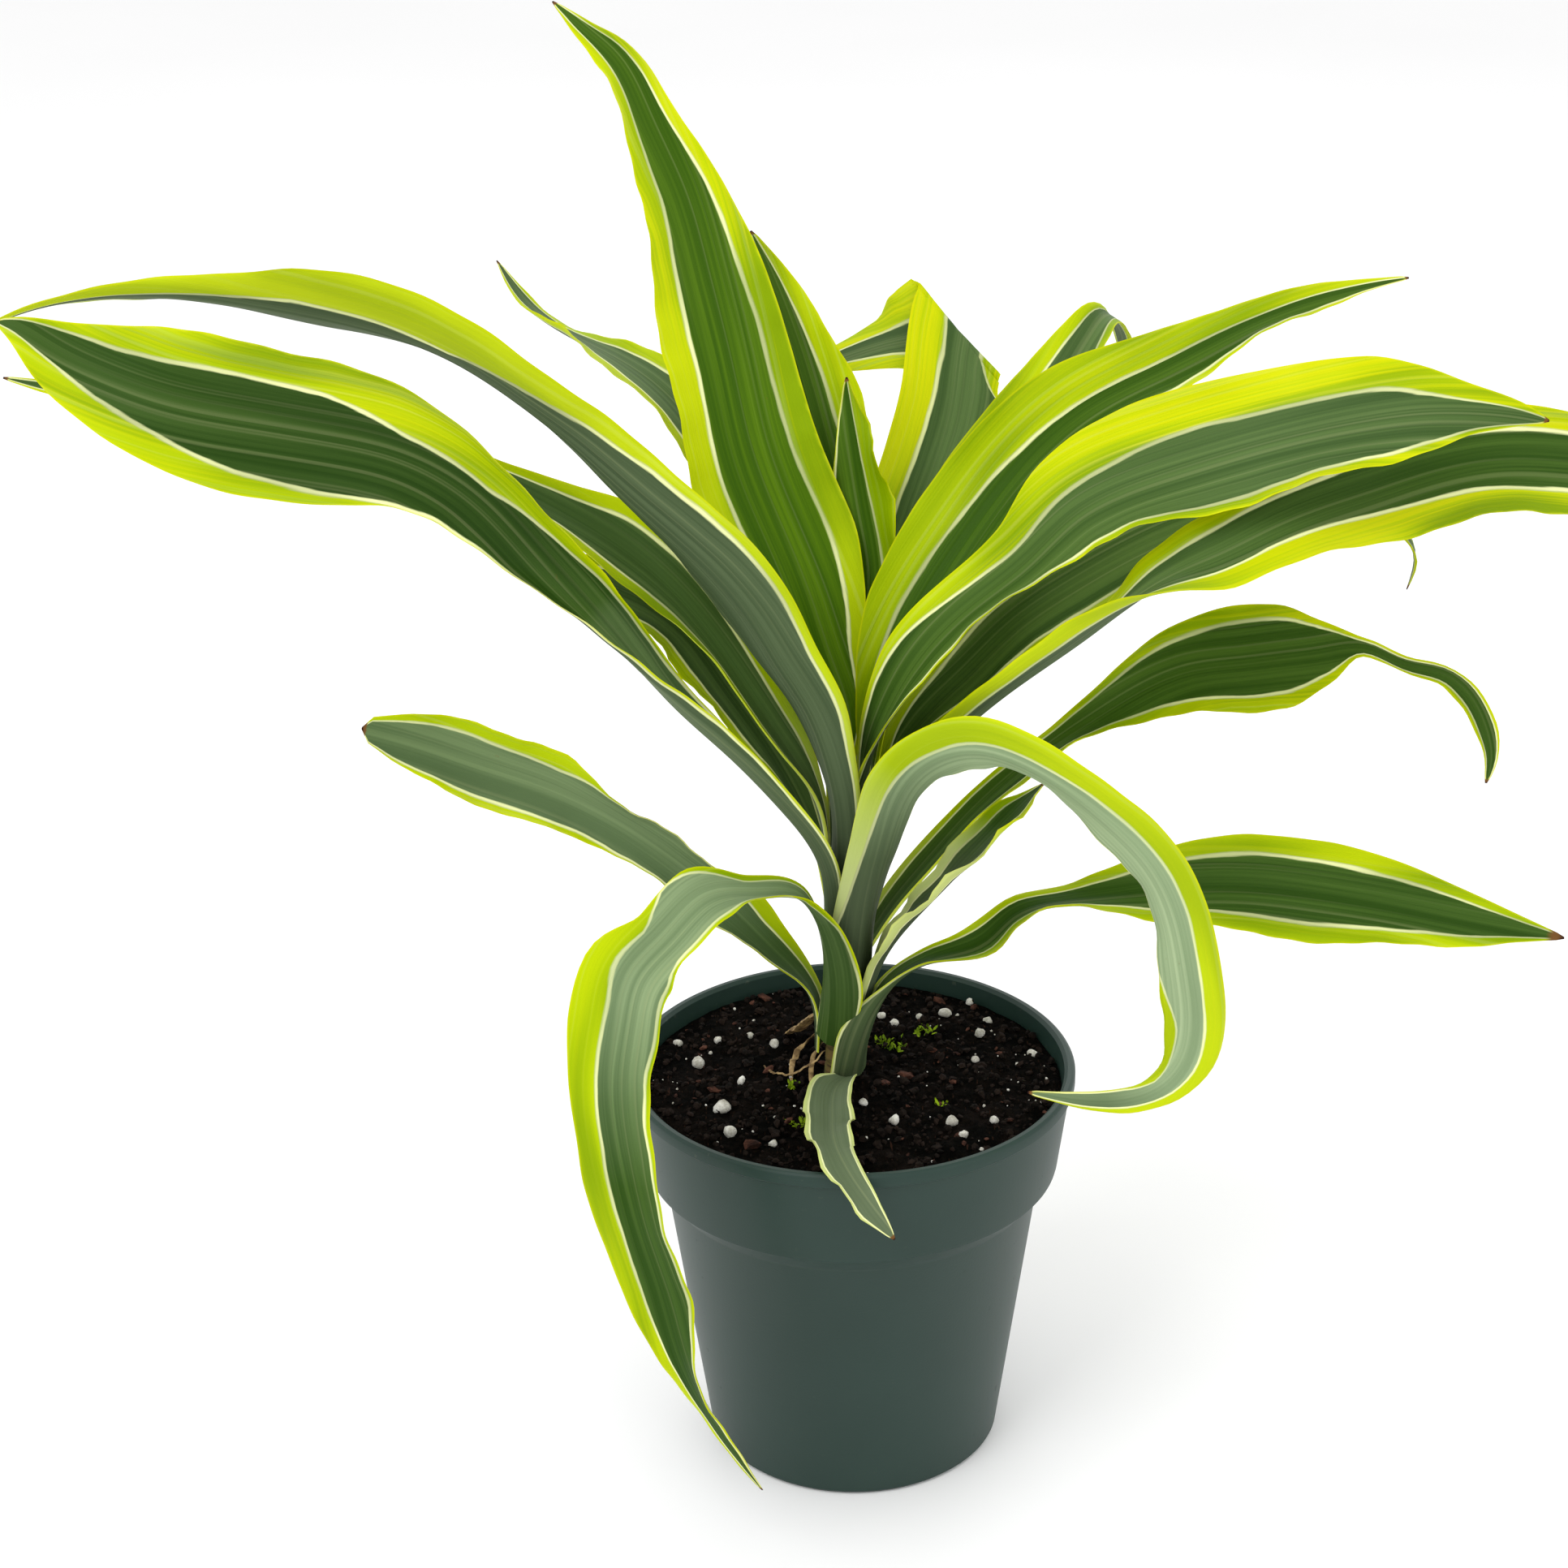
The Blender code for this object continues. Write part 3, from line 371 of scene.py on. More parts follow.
# How each leaf is marked, read from the photo
# The sheen-and-shade values paint grey sheen above zero and shade below zero, and the gold values are
# ramped into painted shade near the base and painted light further out
LOOKS = {
    "leaf_tall": dict(left=((0, 0.50),), right=((0, 0.60),), fresh=0.95, pale=0.0, gold_and_light=0.4),
    "leaf_young": dict(left=((0, 0.93),), right=((0, 0.15),), fresh=0.9, pale=0.0),
    "leaf_tall_behind": dict(left=((0, 0.25),), right=((0, 0.35),), fresh=0.7, pale=0.0),
    "leaf_back_fold": dict(
        left=((0, 0.5), (0.40, 0.42), (0.6, 0.3), (0.70, 0.2), (0.74, 0.3), (1, 0.4)),
        right=((0, 0.6), (0.5, 0.85), (0.70, 0.94), (0.74, 0.55), (1, 0.5)),
        fresh=0.1, sage=((0, 0.12),), pale=0.0, dull=0.3, ripple=0.25, gold_and_light=0.6,
    ),
    "leaf_back_right": dict(left=((0, 0.5),), right=((0, 0.6),), fresh=0.2, sage=((0, 0.12),), pale=0.0),
    "leaf_upper_right": dict(
        left=((0, 0.42), (0.3, 0.3), (0.45, 0.14), (0.75, 0.08), (1, 0.2)),
        right=((0, 0.7), (0.5, 0.8), (1, 0.85)),
        fresh=0.6, pale=0.0, gold_and_light=0.3,
    ),
    "leaf_right_big": dict(
        left=(
            (0, 0.85), (0.2, 0.8), (0.28, 0.6), (0.36, 0.4), (0.45, 0.33), (0.56, 0.33), (0.65, 0.42),
            (1, 0.42),
        ),
        right=((0, 0.85), (0.45, 0.9), (0.55, 0.78), (1, 0.78)),
        fresh=0.2, sage=((0, 0.0), (0.4, 0.03), (0.7, 0.12), (1, 0.08)), pale=0.3, gold_and_light=0.6,
    ),
    "leaf_right_inner": dict(
        left=((0, 0.55),), right=((0, 0.6),), fresh=0.4, sage=((0, 0.08),), pale=0.2, gold_and_light=0.3,
    ),
    "leaf_right_outer": dict(
        left=((0, 0.6),), right=((0, 0.6), (0.45, 0.5), (0.55, 0.28), (0.75, 0.4), (0.9, 0.55)),
        fresh=0.3, sage=((0, 0.1), (0.4, 0.15), (0.7, 0.0)), pale=0.4, gold_and_light=0.6,
    ),
    "leaf_mid_right": dict(left=((0, 0.72),), right=((0, 0.66),), fresh=0.3, pale=0.4, gold_and_light=0.4),
    "leaf_short_right": dict(left=((0, 0.75), (0.5, 0.6), (1, 0.6)), fresh=0.1, pale=0.8, bleach_end=0.8),
    "leaf_low_right": dict(
        left=((0, 0.8), (0.15, 0.8), (0.3, 0.6), (1, 0.6)),
        right=((0, 0.9), (0.15, 0.85), (0.3, 0.6), (1, 0.6)),
        fresh=0.15, pale=0.6, clasp=1.8, wither=7.0, dull=0.7,
    ),
    "leaf_front_right": dict(
        left=((0, 0.8), (0.2, 0.92), (0.72, 0.97), (0.78, 0.5), (0.86, 0.4), (0.9, 0.85), (1, 0.9)),
        right=(
            (0, 0.85), (0.08, 0.8), (0.13, 0.6), (0.19, 0.42), (0.35, 0.2), (0.5, 0.4), (0.75, 0.36),
            (0.85, 0.5),
        ),
        sage=((0, 0.0), (0.18, 0.1), (0.25, 0.5), (0.38, 1.0), (0.85, 1.0), (0.92, 0.4)),
        pale=0.9, bleach_end=0.3, dull=0.6, clasp=1.25,
    ),
    "leaf_front_left": dict(
        left=((0, 0.85), (0.15, 0.85), (0.19, 0.5), (0.23, 0.95), (0.3, 0.86), (1, 0.82)),
        right=(
            (0, 0.85), (0.2, 0.7), (0.27, 0.6), (0.32, 0.8), (0.35, 0.97), (0.39, 0.5), (0.45, 0.3),
            (0.6, 0.4), (1, 0.5),
        ),
        sage=((0, 0.0), (0.15, 0.1), (0.2, 0.35), (0.3, 0.65), (0.45, 0.6), (0.54, 0.2), (0.62, 0.0)),
        pale=0.0, dull=0.2, clasp=1.25,
    ),
    "leaf_left_mid": dict(
        left=(
            (0, 0.8), (0.2, 0.9), (0.31, 0.97), (0.43, 0.92), (0.54, 0.9), (0.6, 0.8), (0.8, 0.82),
            (1, 0.85),
        ),
        right=(
            (0, 0.7), (0.15, 0.6), (0.25, 0.42), (0.31, 0.5), (0.4, 0.95), (0.54, 0.97), (0.6, 0.75),
            (0.67, 0.52), (0.8, 0.6), (1, 0.7),
        ),
        fresh=0.05, sage=((0, 0.0), (0.2, 0.1), (0.35, 0.35), (0.6, 0.4), (1, 0.25)), pale=0.2, wither=0.0,
    ),
    "leaf_left_big": dict(
        left=(
            (0, 0.9), (0.38, 0.9), (0.5, 0.97), (0.62, 0.97), (0.72, 0.82), (0.78, 0.72), (0.85, 0.52),
            (0.9, 0.46), (0.95, 0.3), (1, 0.3),
        ),
        right=(
            (0, 0.9), (0.3, 0.9), (0.44, 0.8), (0.51, 0.5), (0.57, 0.12), (0.65, 0.15), (0.72, 0.43),
            (0.78, 0.47), (0.85, 0.5), (0.9, 0.54), (0.95, 0.68), (1, 0.8),
        ),
        sage=((0, 0.1), (0.35, 0.15), (0.42, 0.1), (0.52, -0.5), (0.7, -0.45), (1, -0.1)),
        fresh=0.05, pale=0.5, gold_and_light=0.3,
    ),
    "leaf_left_upper": dict(
        left=(
            (0, 0.75), (0.36, 0.78), (0.42, 0.78), (0.48, 0.66), (0.55, 0.5), (0.61, 0.22), (0.68, 0.3),
            (0.74, 0.38), (0.8, 0.25), (0.87, 0.1), (1, 0),
        ),
        right=((0, 0.97), (0.8, 0.97), (0.9, 0.6), (1, 0.3)), fresh=0.1, sage=((0, 0.08),), wither=4.0,
    ),
    "leaf_back_left": dict(fresh=0.1, sage=((0, 0.15),), pale=0.2),
    "leaf_left_inner": dict(fresh=0.2, sage=((0, 0.1),), pale=0.4),
    "leaf_left_dark": dict(fresh=0.05, sage=((0, 0.1),), pale=0.2),
    "leaf_front_small": dict(
        left=((0, 0.84),), right=((0, 0.82),), fresh=0.0, sage=((0, 0.5),),
        pale=0.9, bleach_end=1.6, dull=0.5, wither=0.0,
    ),
}


def closed_skin(
    name: str, points: np.ndarray, marks: dict[str, np.ndarray] | None = None
) -> bpy.types.Mesh:
    """Lay a grid round a body, join its two long sides and fill its two ends.

    Args:
        name: the mesh's name.
        points: places in metres, by row and by column; the last column meets the first.
        marks: numbers or vectors for each point, kept as attributes of the mesh.

    Returns:
        One closed mesh whose faces point outwards.
    """
    rows, columns = points.shape[0] - 1, points.shape[1] - 1
    shape = bmesh.new()
    layers = []
    for key, values in (marks or {}).items():
        kinds = shape.verts.layers.float if values.ndim == 2 else shape.verts.layers.float_vector
        layers.append((kinds.new(key), values))
    bmesh.ops.create_grid(shape, x_segments=rows, y_segments=columns, size=1.0)
    for vert in shape.verts:
        row = round((vert.co.x + 1) / 2 * rows)
        column = round((vert.co.y + 1) / 2 * columns)
        vert.co = points[row, column]
        for layer, values in layers:
            vert[layer] = values[row, column]
    bmesh.ops.remove_doubles(shape, verts=shape.verts, dist=MERGE)
    ends = [edge for edge in shape.edges if edge.is_boundary]
    bmesh.ops.holes_fill(shape, edges=ends, sides=0)
    bmesh.ops.recalc_face_normals(shape, faces=shape.faces)
    return as_mesh(shape, name)


def as_mesh(shape: bmesh.types.BMesh, name: str, sharp: float = 40.0) -> bpy.types.Mesh:
    """Turn a bmesh into a smooth mesh with sharp edges, and free it.

    Args:
        shape: the bmesh.
        name: the mesh's name.
        sharp: the angle in degrees past which an edge is sharp.

    Returns:
        The mesh.
    """
    mesh = bpy.data.meshes.new(name)
    shape.to_mesh(mesh)
    shape.free()
    mesh.shade_smooth()
    mesh.set_sharp_from_angle(angle=math.radians(sharp))
    return mesh


def put(name: str, data: bpy.types.ID) -> bpy.types.Object:
    """Put a new object in the scene.

    Args:
        name: its name.
        data: its mesh, light or camera.

    Returns:
        The object.
    """
    made = bpy.data.objects.new(name, data)
    bpy.context.scene.collection.objects.link(made)
    return made


def add_piece(
    name: str, mesh: bpy.types.Mesh, material: bpy.types.Material, node: str | None = None
) -> bpy.types.Object:
    """Put a finished mesh in the scene as a piece of the plant.

    Args:
        name: the piece's name.
        mesh: its mesh, already in its place.
        material: its finish.
        node: the solid that the piece stands for, if any.

    Returns:
        The piece.
    """
    piece = put(name, mesh)
    mesh.materials.clear()
    mesh.materials.append(material)
    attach(piece, BODY)
    if node:
        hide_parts(node)
    LOG.info("%s: %d faces", name, len(mesh.polygons))
    return piece


def turned(chain: list[Pair], steps: int) -> bmesh.types.BMesh:
    """Turn a chain of (radius, height) points that starts and ends on the axis into a closed body.

    Args:
        chain: the points.
        steps: the number of faces round the body.

    Returns:
        The body, with its poles closed and its faces outwards.
    """
    shape = bmesh.new()
    points = [shape.verts.new((radius, 0.0, height)) for radius, height in chain]
    edges = [shape.edges.new(pair) for pair in zip(points, points[1:])]
    bmesh.ops.spin(
        shape, geom=points + edges, cent=(0, 0, 0), axis=(0, 0, 1), angle=math.tau, steps=steps,
        use_merge=True,
    )
    shape.verts.index_update()
    count = len(shape.verts)

    def rank(face: bmesh.types.BMFace) -> int:
        """Return a face's place by its vertices, since a spin lists faces in an order that varies."""
        numbers = [vert.index for vert in face.verts]
        return min(numbers) * count + max(numbers)

    shape.faces.sort(key=rank)
    bmesh.ops.remove_doubles(shape, verts=shape.verts, dist=MERGE)
    bmesh.ops.recalc_face_normals(shape, faces=shape.faces)
    return shape


@dataclass(frozen=True)
class PotFinish:
    """Satin dark green moulded plastic with a faint mottle and dust near the soil."""

    body: Colour = srgb(31, 52, 45)
    pale: Colour = srgb(40, 61, 54)
    dust: Colour = srgb(84, 90, 78)
    roughness: float = 0.40
    cloud_scale: float = 22.0
    grain_scale: float = 1900.0
    speck_scale: float = 420.0

    # Values of the noise between which the mottle and the specks set in, and how strongly each shows
    cloud_edge: Pair = (0.3, 0.75)
    speck_edge: Pair = (0.66, 0.74)
    cloud_share: float = 0.5
    speck_share: float = 0.10
    inside_share: float = 0.25

    # Heights in metres over which the dust inside the rim sets in, and over which it ends
    dust_rises: Pair = (0.090, 0.0975)
    dust_ends: Pair = (0.0995, 0.0999)

    # Depth of the moulded surface in metres, how strongly it shows, and how strongly the pot mirrors
    relief: float = 0.00012
    relief_strength: float = 0.35
    gloss: float = 0.28

    def material(self) -> bpy.types.Material:
        """Build the material of the pot.

        Returns:
            The material.
        """
        shader = Shader("pot_plastic")
        place = shader.place()
        cloud = shader.noise(place, self.cloud_scale, 4.0)
        grain = shader.noise(place, self.grain_scale)
        specks = shader.step(shader.noise(place, self.speck_scale, 3.0, 0.6), *self.speck_edge)
        height = shader.height(place)
        inside = shader.step(height, *self.dust_rises) * (1 - shader.step(height, *self.dust_ends))
        mottle = shader.step(cloud, *self.cloud_edge)
        colour = shader.mix(mottle * self.cloud_share, self.body, self.pale)
        dusty = specks * self.speck_share + inside * specks * self.inside_share
        colour = shader.mix(dusty, colour, self.dust)
        shader.bump(cloud * 0.6 + grain * 0.4, self.relief, self.relief_strength)
        return shader.finish(colour, self.roughness + cloud * 0.08 + specks * 0.1, self.gloss)


@dataclass
class Pot:
    """The nursery pot: a tapered wall, a collar, a rolled lip, a floor and its drain holes."""

    height: float = 100 * MM
    rim_radius: float = 54 * MM
    lip_height: float = 3 * MM
    collar_radius: float = 53 * MM
    collar_foot_radius: float = 50 * MM
    collar_foot_height: float = 75 * MM
    shoulder_radius: float = 45.5 * MM
    shoulder_height: float = 70 * MM
    base_radius: float = 36 * MM
    foot_rise: float = 1 * MM
    wall: float = 1.6 * MM
    floor: float = 2 * MM
    steps: int = 192
    drain_count: int = 4
    drain_radius: float = 4 * MM
    drain_circle: float = 25 * MM
    drain_sides: int = 32
    round: float = 0.4 * MM
    sharp_angle: float = 30.0
    finish: PotFinish = field(default_factory=PotFinish)

    def radius_inside(self, height: float) -> float:
        """Find the inner radius of the wall.

        Args:
            height: the height above the ground in metres.

        Returns:
            The radius there in metres.
        """
        heights = (0.0, self.shoulder_height, self.collar_foot_height, self.height)
        radii = (self.base_radius, self.shoulder_radius, self.collar_foot_radius, self.collar_radius)
        return float(np.interp(height, heights, radii)) - self.wall

    def chain(self) -> list[Pair]:
        """Lay out the pot's profile.

        Returns:
            The (radius, height) points from the middle of the inner floor, over the lip, to the middle of
            the base, in metres.
        """
        roll, fine = self.wall / 2, self.round
        lip_foot = self.height - self.lip_height
        low, mouth = self.radius_inside(self.floor), self.radius_inside(self.height)
        return [
            (0.0, self.floor),
            (low - roll, self.floor),
            (low, self.floor + roll),
            (self.radius_inside(self.shoulder_height), self.shoulder_height),
            (self.radius_inside(self.collar_foot_height), self.collar_foot_height),
            (mouth, self.height - roll),
            (mouth + fine, self.height - fine),
            (mouth + roll, self.height),
            (self.rim_radius - roll, self.height),
            (self.rim_radius - fine / 2, self.height - fine),
            (self.rim_radius, self.height - roll),
            (self.rim_radius, lip_foot),
            (self.rim_radius - fine, lip_foot - fine),
            (self.collar_radius, lip_foot - roll),
            (self.collar_foot_radius + fine / 2, self.collar_foot_height + 2 * fine),
            (self.collar_foot_radius, self.collar_foot_height),
            (self.collar_foot_radius - fine, self.collar_foot_height - fine),
            (self.shoulder_radius + fine, self.shoulder_height + fine),
            (self.shoulder_radius, self.shoulder_height - fine),
            (self.base_radius, self.foot_rise),
            (self.base_radius - self.foot_rise, 0.0),
            (0.0, 0.0),
        ]

    def build(self) -> bpy.types.Object:
        """Turn the pot, cut its drain holes and dress it.

        Returns:
            The pot.
        """
        shape = turned(self.chain(), self.steps)
        pot = put("pot_blank", as_mesh(shape, "pot_blank", self.sharp_angle))
        drills = [self.drill(pot, index) for index in range(self.drain_count)]
        bpy.context.view_layer.update()
        graph = bpy.context.evaluated_depsgraph_get()
        mesh = bpy.data.meshes.new_from_object(pot.evaluated_get(graph))
        for helper in (pot, *drills):
            bpy.data.objects.remove(helper, do_unlink=True)
        return add_piece("pot_shell", mesh, self.finish.material(), "pot")

    def drill(self, pot: bpy.types.Object, index: int) -> bpy.types.Object:
        """Add the cutter of one drain hole to the pot.

        Args:
            pot: the pot.
            index: the number of the hole, from 0.

        Returns:
            The cutter.
        """
        angle = math.tau * (index + 0.5) / self.drain_count
        centre = Vector((math.cos(angle), math.sin(angle), 0.0)) * self.drain_circle
        shape = bmesh.new()
        bmesh.ops.create_cone(
            shape, cap_ends=True, segments=self.drain_sides, radius1=self.drain_radius,
            radius2=self.drain_radius, depth=4 * self.floor, matrix=Matrix.Translation(centre),
        )
        drill = put(f"drill_{index}", as_mesh(shape, f"drill_{index}"))
        hole = pot.modifiers.new(f"hole_{index}", "BOOLEAN")
        hole.operation = "DIFFERENCE"
        hole.object = drill
        return drill


class Grain(Enum):
    """The loose bits that lie on the soil."""

    PERLITE = "perlite"
    BARK = "bark_chips"
    CRUMB = "soil_crumbs"
    MOSS = "moss"


@dataclass(frozen=True)
class GrainFinish:
    """A matt, pitted finish between two colours."""

    name: str
    light: Colour
    dark: Colour
    scale: float
    roughness: float = 0.9
    relief: float = 0.0002
    relief_strength: float = 0.8
    light_edge: Pair = (0.35, 0.65)
    broad_share: float = 0.35
    gloss: float = 0.1

    def material(self) -> bpy.types.Material:
        """Build the material.

        Returns:
            The material.
        """
        shader = Shader(self.name)
        place = shader.place()
        broad = shader.noise(place, self.scale * self.broad_share)
        fine = shader.noise(place, self.scale * 2.0, 3.0, 0.65)
        share = shader.step(broad * 0.6 + fine * 0.4, *self.light_edge)
        shader.bump(fine, self.relief, self.relief_strength)
        return shader.finish(shader.mix(share, self.dark, self.light), self.roughness, self.gloss)


GRAIN_FINISHES = {
    Grain.PERLITE: GrainFinish("perlite", srgb(228, 226, 218), srgb(168, 164, 152), 900.0),
    Grain.BARK: GrainFinish("bark_chip", srgb(88, 56, 44), srgb(34, 20, 16), 700.0),
    Grain.CRUMB: GrainFinish("soil_crumb", srgb(36, 27, 22), srgb(7, 6, 4), 800.0, 0.95),
    Grain.MOSS: GrainFinish("moss", srgb(140, 168, 22), srgb(50, 78, 10), 900.0, 0.75),
}

# The least and the most of each strewn grain's second and third sizes, as shares of its first
GRAIN_SHARES = {
    Grain.PERLITE: ((0.8, 1.0), (0.75, 0.95)),
    Grain.BARK: ((0.35, 0.7), (0.22, 0.4)),
    Grain.CRUMB: ((0.6, 1.0), (0.5, 0.9)),
}


@dataclass(frozen=True)
class SoilFinish:
    """Dark moist peat with brown fibres."""

    wet: Colour = srgb(4, 4, 3)
    dry: Colour = srgb(22, 16, 12)
    fibre: Colour = srgb(58, 38, 28)
    lump_scale: float = 130.0
    crumb_scale: float = 800.0
    fibre_scales: tuple[float, float, float] = (1600.0, 260.0, 900.0)
    dry_edge: Pair = (0.42, 0.66)
    dry_share: float = 0.8
    fibre_edge: Pair = (0.66, 0.74)
    fibre_share: float = 0.6
    wet_roughness: float = 0.97
    gloss: float = 0.03
    relief: float = 0.0011

    def material(self) -> bpy.types.Material:
        """Build the material of the soil.

        Returns:
            The material.
        """
        shader = Shader("potting_soil")
        place = shader.place()
        broad = shader.noise(place, self.lump_scale, 3.0, 0.6)
        fine = shader.noise(place, self.crumb_scale, 4.0, 0.7)
        strands = shader.noise(shader.scaled(place, self.fibre_scales), 1.0)
        share = shader.step(broad * 0.5 + fine * 0.5, *self.dry_edge)
        colour = shader.mix(share * self.dry_share, self.wet, self.dry)
        fibres = shader.step(strands, *self.fibre_edge)
        colour = shader.mix(fibres * self.fibre_share, colour, self.fibre)
        shader.bump(broad * 0.4 + fine * 0.6, self.relief)
        return shader.finish(colour, self.wet_roughness - share * 0.12, self.gloss)


@dataclass
class Soil:
    """The potting mix, its lumpy top and the bits that lie on it."""

    pot: Pot
    edge_height: float = 95 * MM
    mound: float = 2 * MM
    gap: float = 0.3 * MM
    rings: int = 60
    steps: int = 240
    seed: int = 7
    finish: SoilFinish = field(default_factory=SoilFinish)

    # Width and height in mm of the lumps of its top, the finest of which only stand up
    lumps: tuple = ((9.0, 1.3), (3.2, 1.1), (1.5, 1.0))

    # Distance in metres between the layers of noise that the sizes of lump are read from
    lump_layer: float = 0.01

    # How fast the lumps fade towards the wall, and the share of them that is left there
    wall_fade: float = 12.0
    wall_share: float = 0.25

    # Kind, number and least and greatest diameter in mm of the grains that are strewn at random
    strewn: tuple = (
        (Grain.PERLITE, 90, (0.4, 1.3)),
        (Grain.BARK, 60, (1.4, 4.0)),
        (Grain.CRUMB, 1500, (0.8, 2.6)),
    )

    # Room in mm between the grains and the wall, and the power that makes small ones the commonest
    grain_margin: float = 1.2
    small_grains: float = 2.2

    # Lean of a grain in radians, its rise out of the soil as a share of its thickness, the depth, size and
    # spread of its dents, and the diameter in metres above which a perlite grain has more faces
    grain_lean: float = 0.5
    grain_rise: float = 0.25
    perlite_dents: float = 0.4
    other_dents: float = 0.6
    dent_size: float = 0.45
    dent_shift: float = 900.0
    fine_above: float = 1.6 * MM

    # Sharp angle in degrees of the grains other than perlite, which is smooth
    grain_sharp_angle: float = 35.0

    # Larger grains as they lie in the photo: x, y and diameter in mm
    perlite_spots: tuple = (
        (-31, -16, 4.2), (32.5, 19.5, 2.8), (24.5, 31, 3.0), (18, 29.5, 2.2), (11.5, 24.5, 2.4),
        (8.5, 28, 2.0), (9.5, -24, 2.8), (23, -24, 3.0), (-29, -28, 3.2), (-18.5, 14.5, 2.6),
        (-26.5, -2.5, 2.2), (-37, 7.5, 3.6), (-42.5, 18, 2.4), (2.5, -15, 2.2), (33, -23.5, 2.4),
        (25.5, -30, 2.2), (30.5, 5.5, 2.0), (44.5, 9.5, 2.6), (31, 37, 2.0), (35, 27.5, 2.4),
        (-19, -32, 2.0), (-32.5, 18.5, 2.2), (-24.5, 20.5, 2.0),
    )
    bark_spots: tuple = (
        (13.5, -0.5, 6.5), (-24, -32.5, 6.0), (-21, 42, 5.0), (24, 40, 5.0), (8, -6, 4.0), (-33, -6, 4.0),
    )

    # Moss tufts: x, y, spread in mm and number of leaflets
    moss_spots: tuple = (
        (10, 14, 3.6, 46), (18.5, 21, 2.8, 26), (-12.5, -23.5, 2.4, 20), (21, -16, 1.6, 10),
        (-14, -8, 1.8, 10),
    )

    # Least and greatest length in mm and lean in radians of a leaflet, how far along it its middle lies,
    # and its shape
    leaflet_lengths: Pair = (1.1, 2.4)
    leaflet_leans: Pair = (0.2, 1.3)
    leaflet_middle: float = 0.45
    leaflet_shape: tuple[float, float, float] = (0.42, 0.16, 1.0)

    def radius(self) -> float:
        """Return the radius of the soil's top."""
        return self.pot.radius_inside(self.edge_height) - self.gap

    def surface(self, x: float, y: float) -> float:
        """Find the height of the soil's top.

        Args:
            x: the place across the view in metres.
            y: the place along the view in metres.

        Returns:
            The height in metres.
        """
        share = min(1.0, math.hypot(x, y) / self.radius())
        *rolling, crumbly = [
            noise.noise(Vector((x, y, index * self.lump_layer)) / (width * MM)) * height
            for index, (width, height) in enumerate(self.lumps)
        ]
        fade = min(1.0, (1.0 - share) * self.wall_fade + self.wall_share)
        lumps = (sum(rolling) + abs(crumbly)) * fade * MM
        return self.edge_height + self.mound * (1 - share**2) + lumps

    def build(self) -> None:
        """Build the soil's body and strew the grains on it."""
        floor = self.pot.floor + self.gap
        chain = [(0.0, floor), (self.pot.radius_inside(floor) - self.gap - self.pot.wall, floor)]
        for height in (floor + self.pot.wall, self.pot.shoulder_height, self.pot.collar_foot_height):
            chain.append((self.pot.radius_inside(height) - self.gap, height))
        for ring in range(self.rings, -1, -1):
            chain.append((self.radius() * ring / self.rings, self.edge_height))
        shape = turned(chain, self.steps)
        for vert in shape.verts:
            if vert.co.z > self.edge_height - MERGE:
                vert.co.z = self.surface(vert.co.x, vert.co.y)
        mesh = as_mesh(shape, "soil_top", SMOOTH)
        add_piece("soil_mix", mesh, self.finish.material(), "soil")
        spots = {Grain.PERLITE: self.perlite_spots, Grain.BARK: self.bark_spots}
        for kind, spare, sizes in self.strewn:
            self.strew(kind, spots.get(kind, ()), spare, sizes)
        self.strew_moss()

    def strew(self, kind: Grain, spots: tuple, spare: int, sizes: Pair) -> None:
        """Lay grains of one kind on the soil: those at given spots, then some at seeded random places.

        Args:
            kind: the kind of grain.
            spots: x, y and diameter in mm of the placed ones.
            spare: how many more are drawn at random.
            sizes: the smallest and largest diameter of those, in mm.
        """
        draw = random.Random(f"{self.seed} {kind.value}")
        reach = self.radius() / MM - self.grain_margin
        grains = list(spots)
        for _ in range(spare):
            angle, distance = draw.uniform(0, math.tau), reach * math.sqrt(draw.random())
            size = sizes[0] + (sizes[1] - sizes[0]) * draw.random() ** self.small_grains
            grains.append((distance * math.cos(angle), distance * math.sin(angle), size))
        shape = bmesh.new()
        for x, y, size in grains:
            self.add_grain(shape, kind, draw, x * MM, y * MM, size * MM)
        sharp = SMOOTH if kind is Grain.PERLITE else self.grain_sharp_angle
        mesh = as_mesh(shape, kind.value, sharp)
        add_piece(kind.value, mesh, GRAIN_FINISHES[kind].material())

    def add_grain(
        self, shape: bmesh.types.BMesh, kind: Grain, draw: random.Random, x: float, y: float, size: float
    ) -> None:
        """Add one grain, pressed a little into the soil.

        Args:
            shape: the bmesh that the grain is added to.
            kind: the kind of grain.
            draw: the source of its random numbers.
            x: its place in metres, across the view.
            y: its place in metres, along the view.
            size: its diameter in metres.
        """
        shares = {
            each: (draw.uniform(*second), draw.uniform(*third))
            for each, (second, third) in GRAIN_SHARES.items()
        }
        second, third = shares[kind]
        lean = self.grain_lean
        tilt = [Matrix.Rotation(draw.uniform(-lean, lean), 4, axis) for axis in "XY"]
        turn = Matrix.Rotation(draw.uniform(0, math.tau), 4, "Z")
        place = Matrix.Translation((x, y, self.surface(x, y) + size * third * self.grain_rise))
        matrix = place @ (tilt[0] @ tilt[1]) @ turn @ Matrix.Diagonal((1.0, second, third, 1.0))
        rounds = 2 if kind is Grain.PERLITE and size > self.fine_above else 1
        made = bmesh.ops.create_icosphere(shape, subdivisions=rounds, radius=size / 2, matrix=matrix)
        dents = self.perlite_dents if kind is Grain.PERLITE else self.other_dents
        shift = Vector((x, y, 0.0)) * self.dent_shift
        for vert in made["verts"]:
            push = noise.noise(vert.co / (size * self.dent_size) + shift)
            vert.co += (vert.co - place.translation) * push * dents

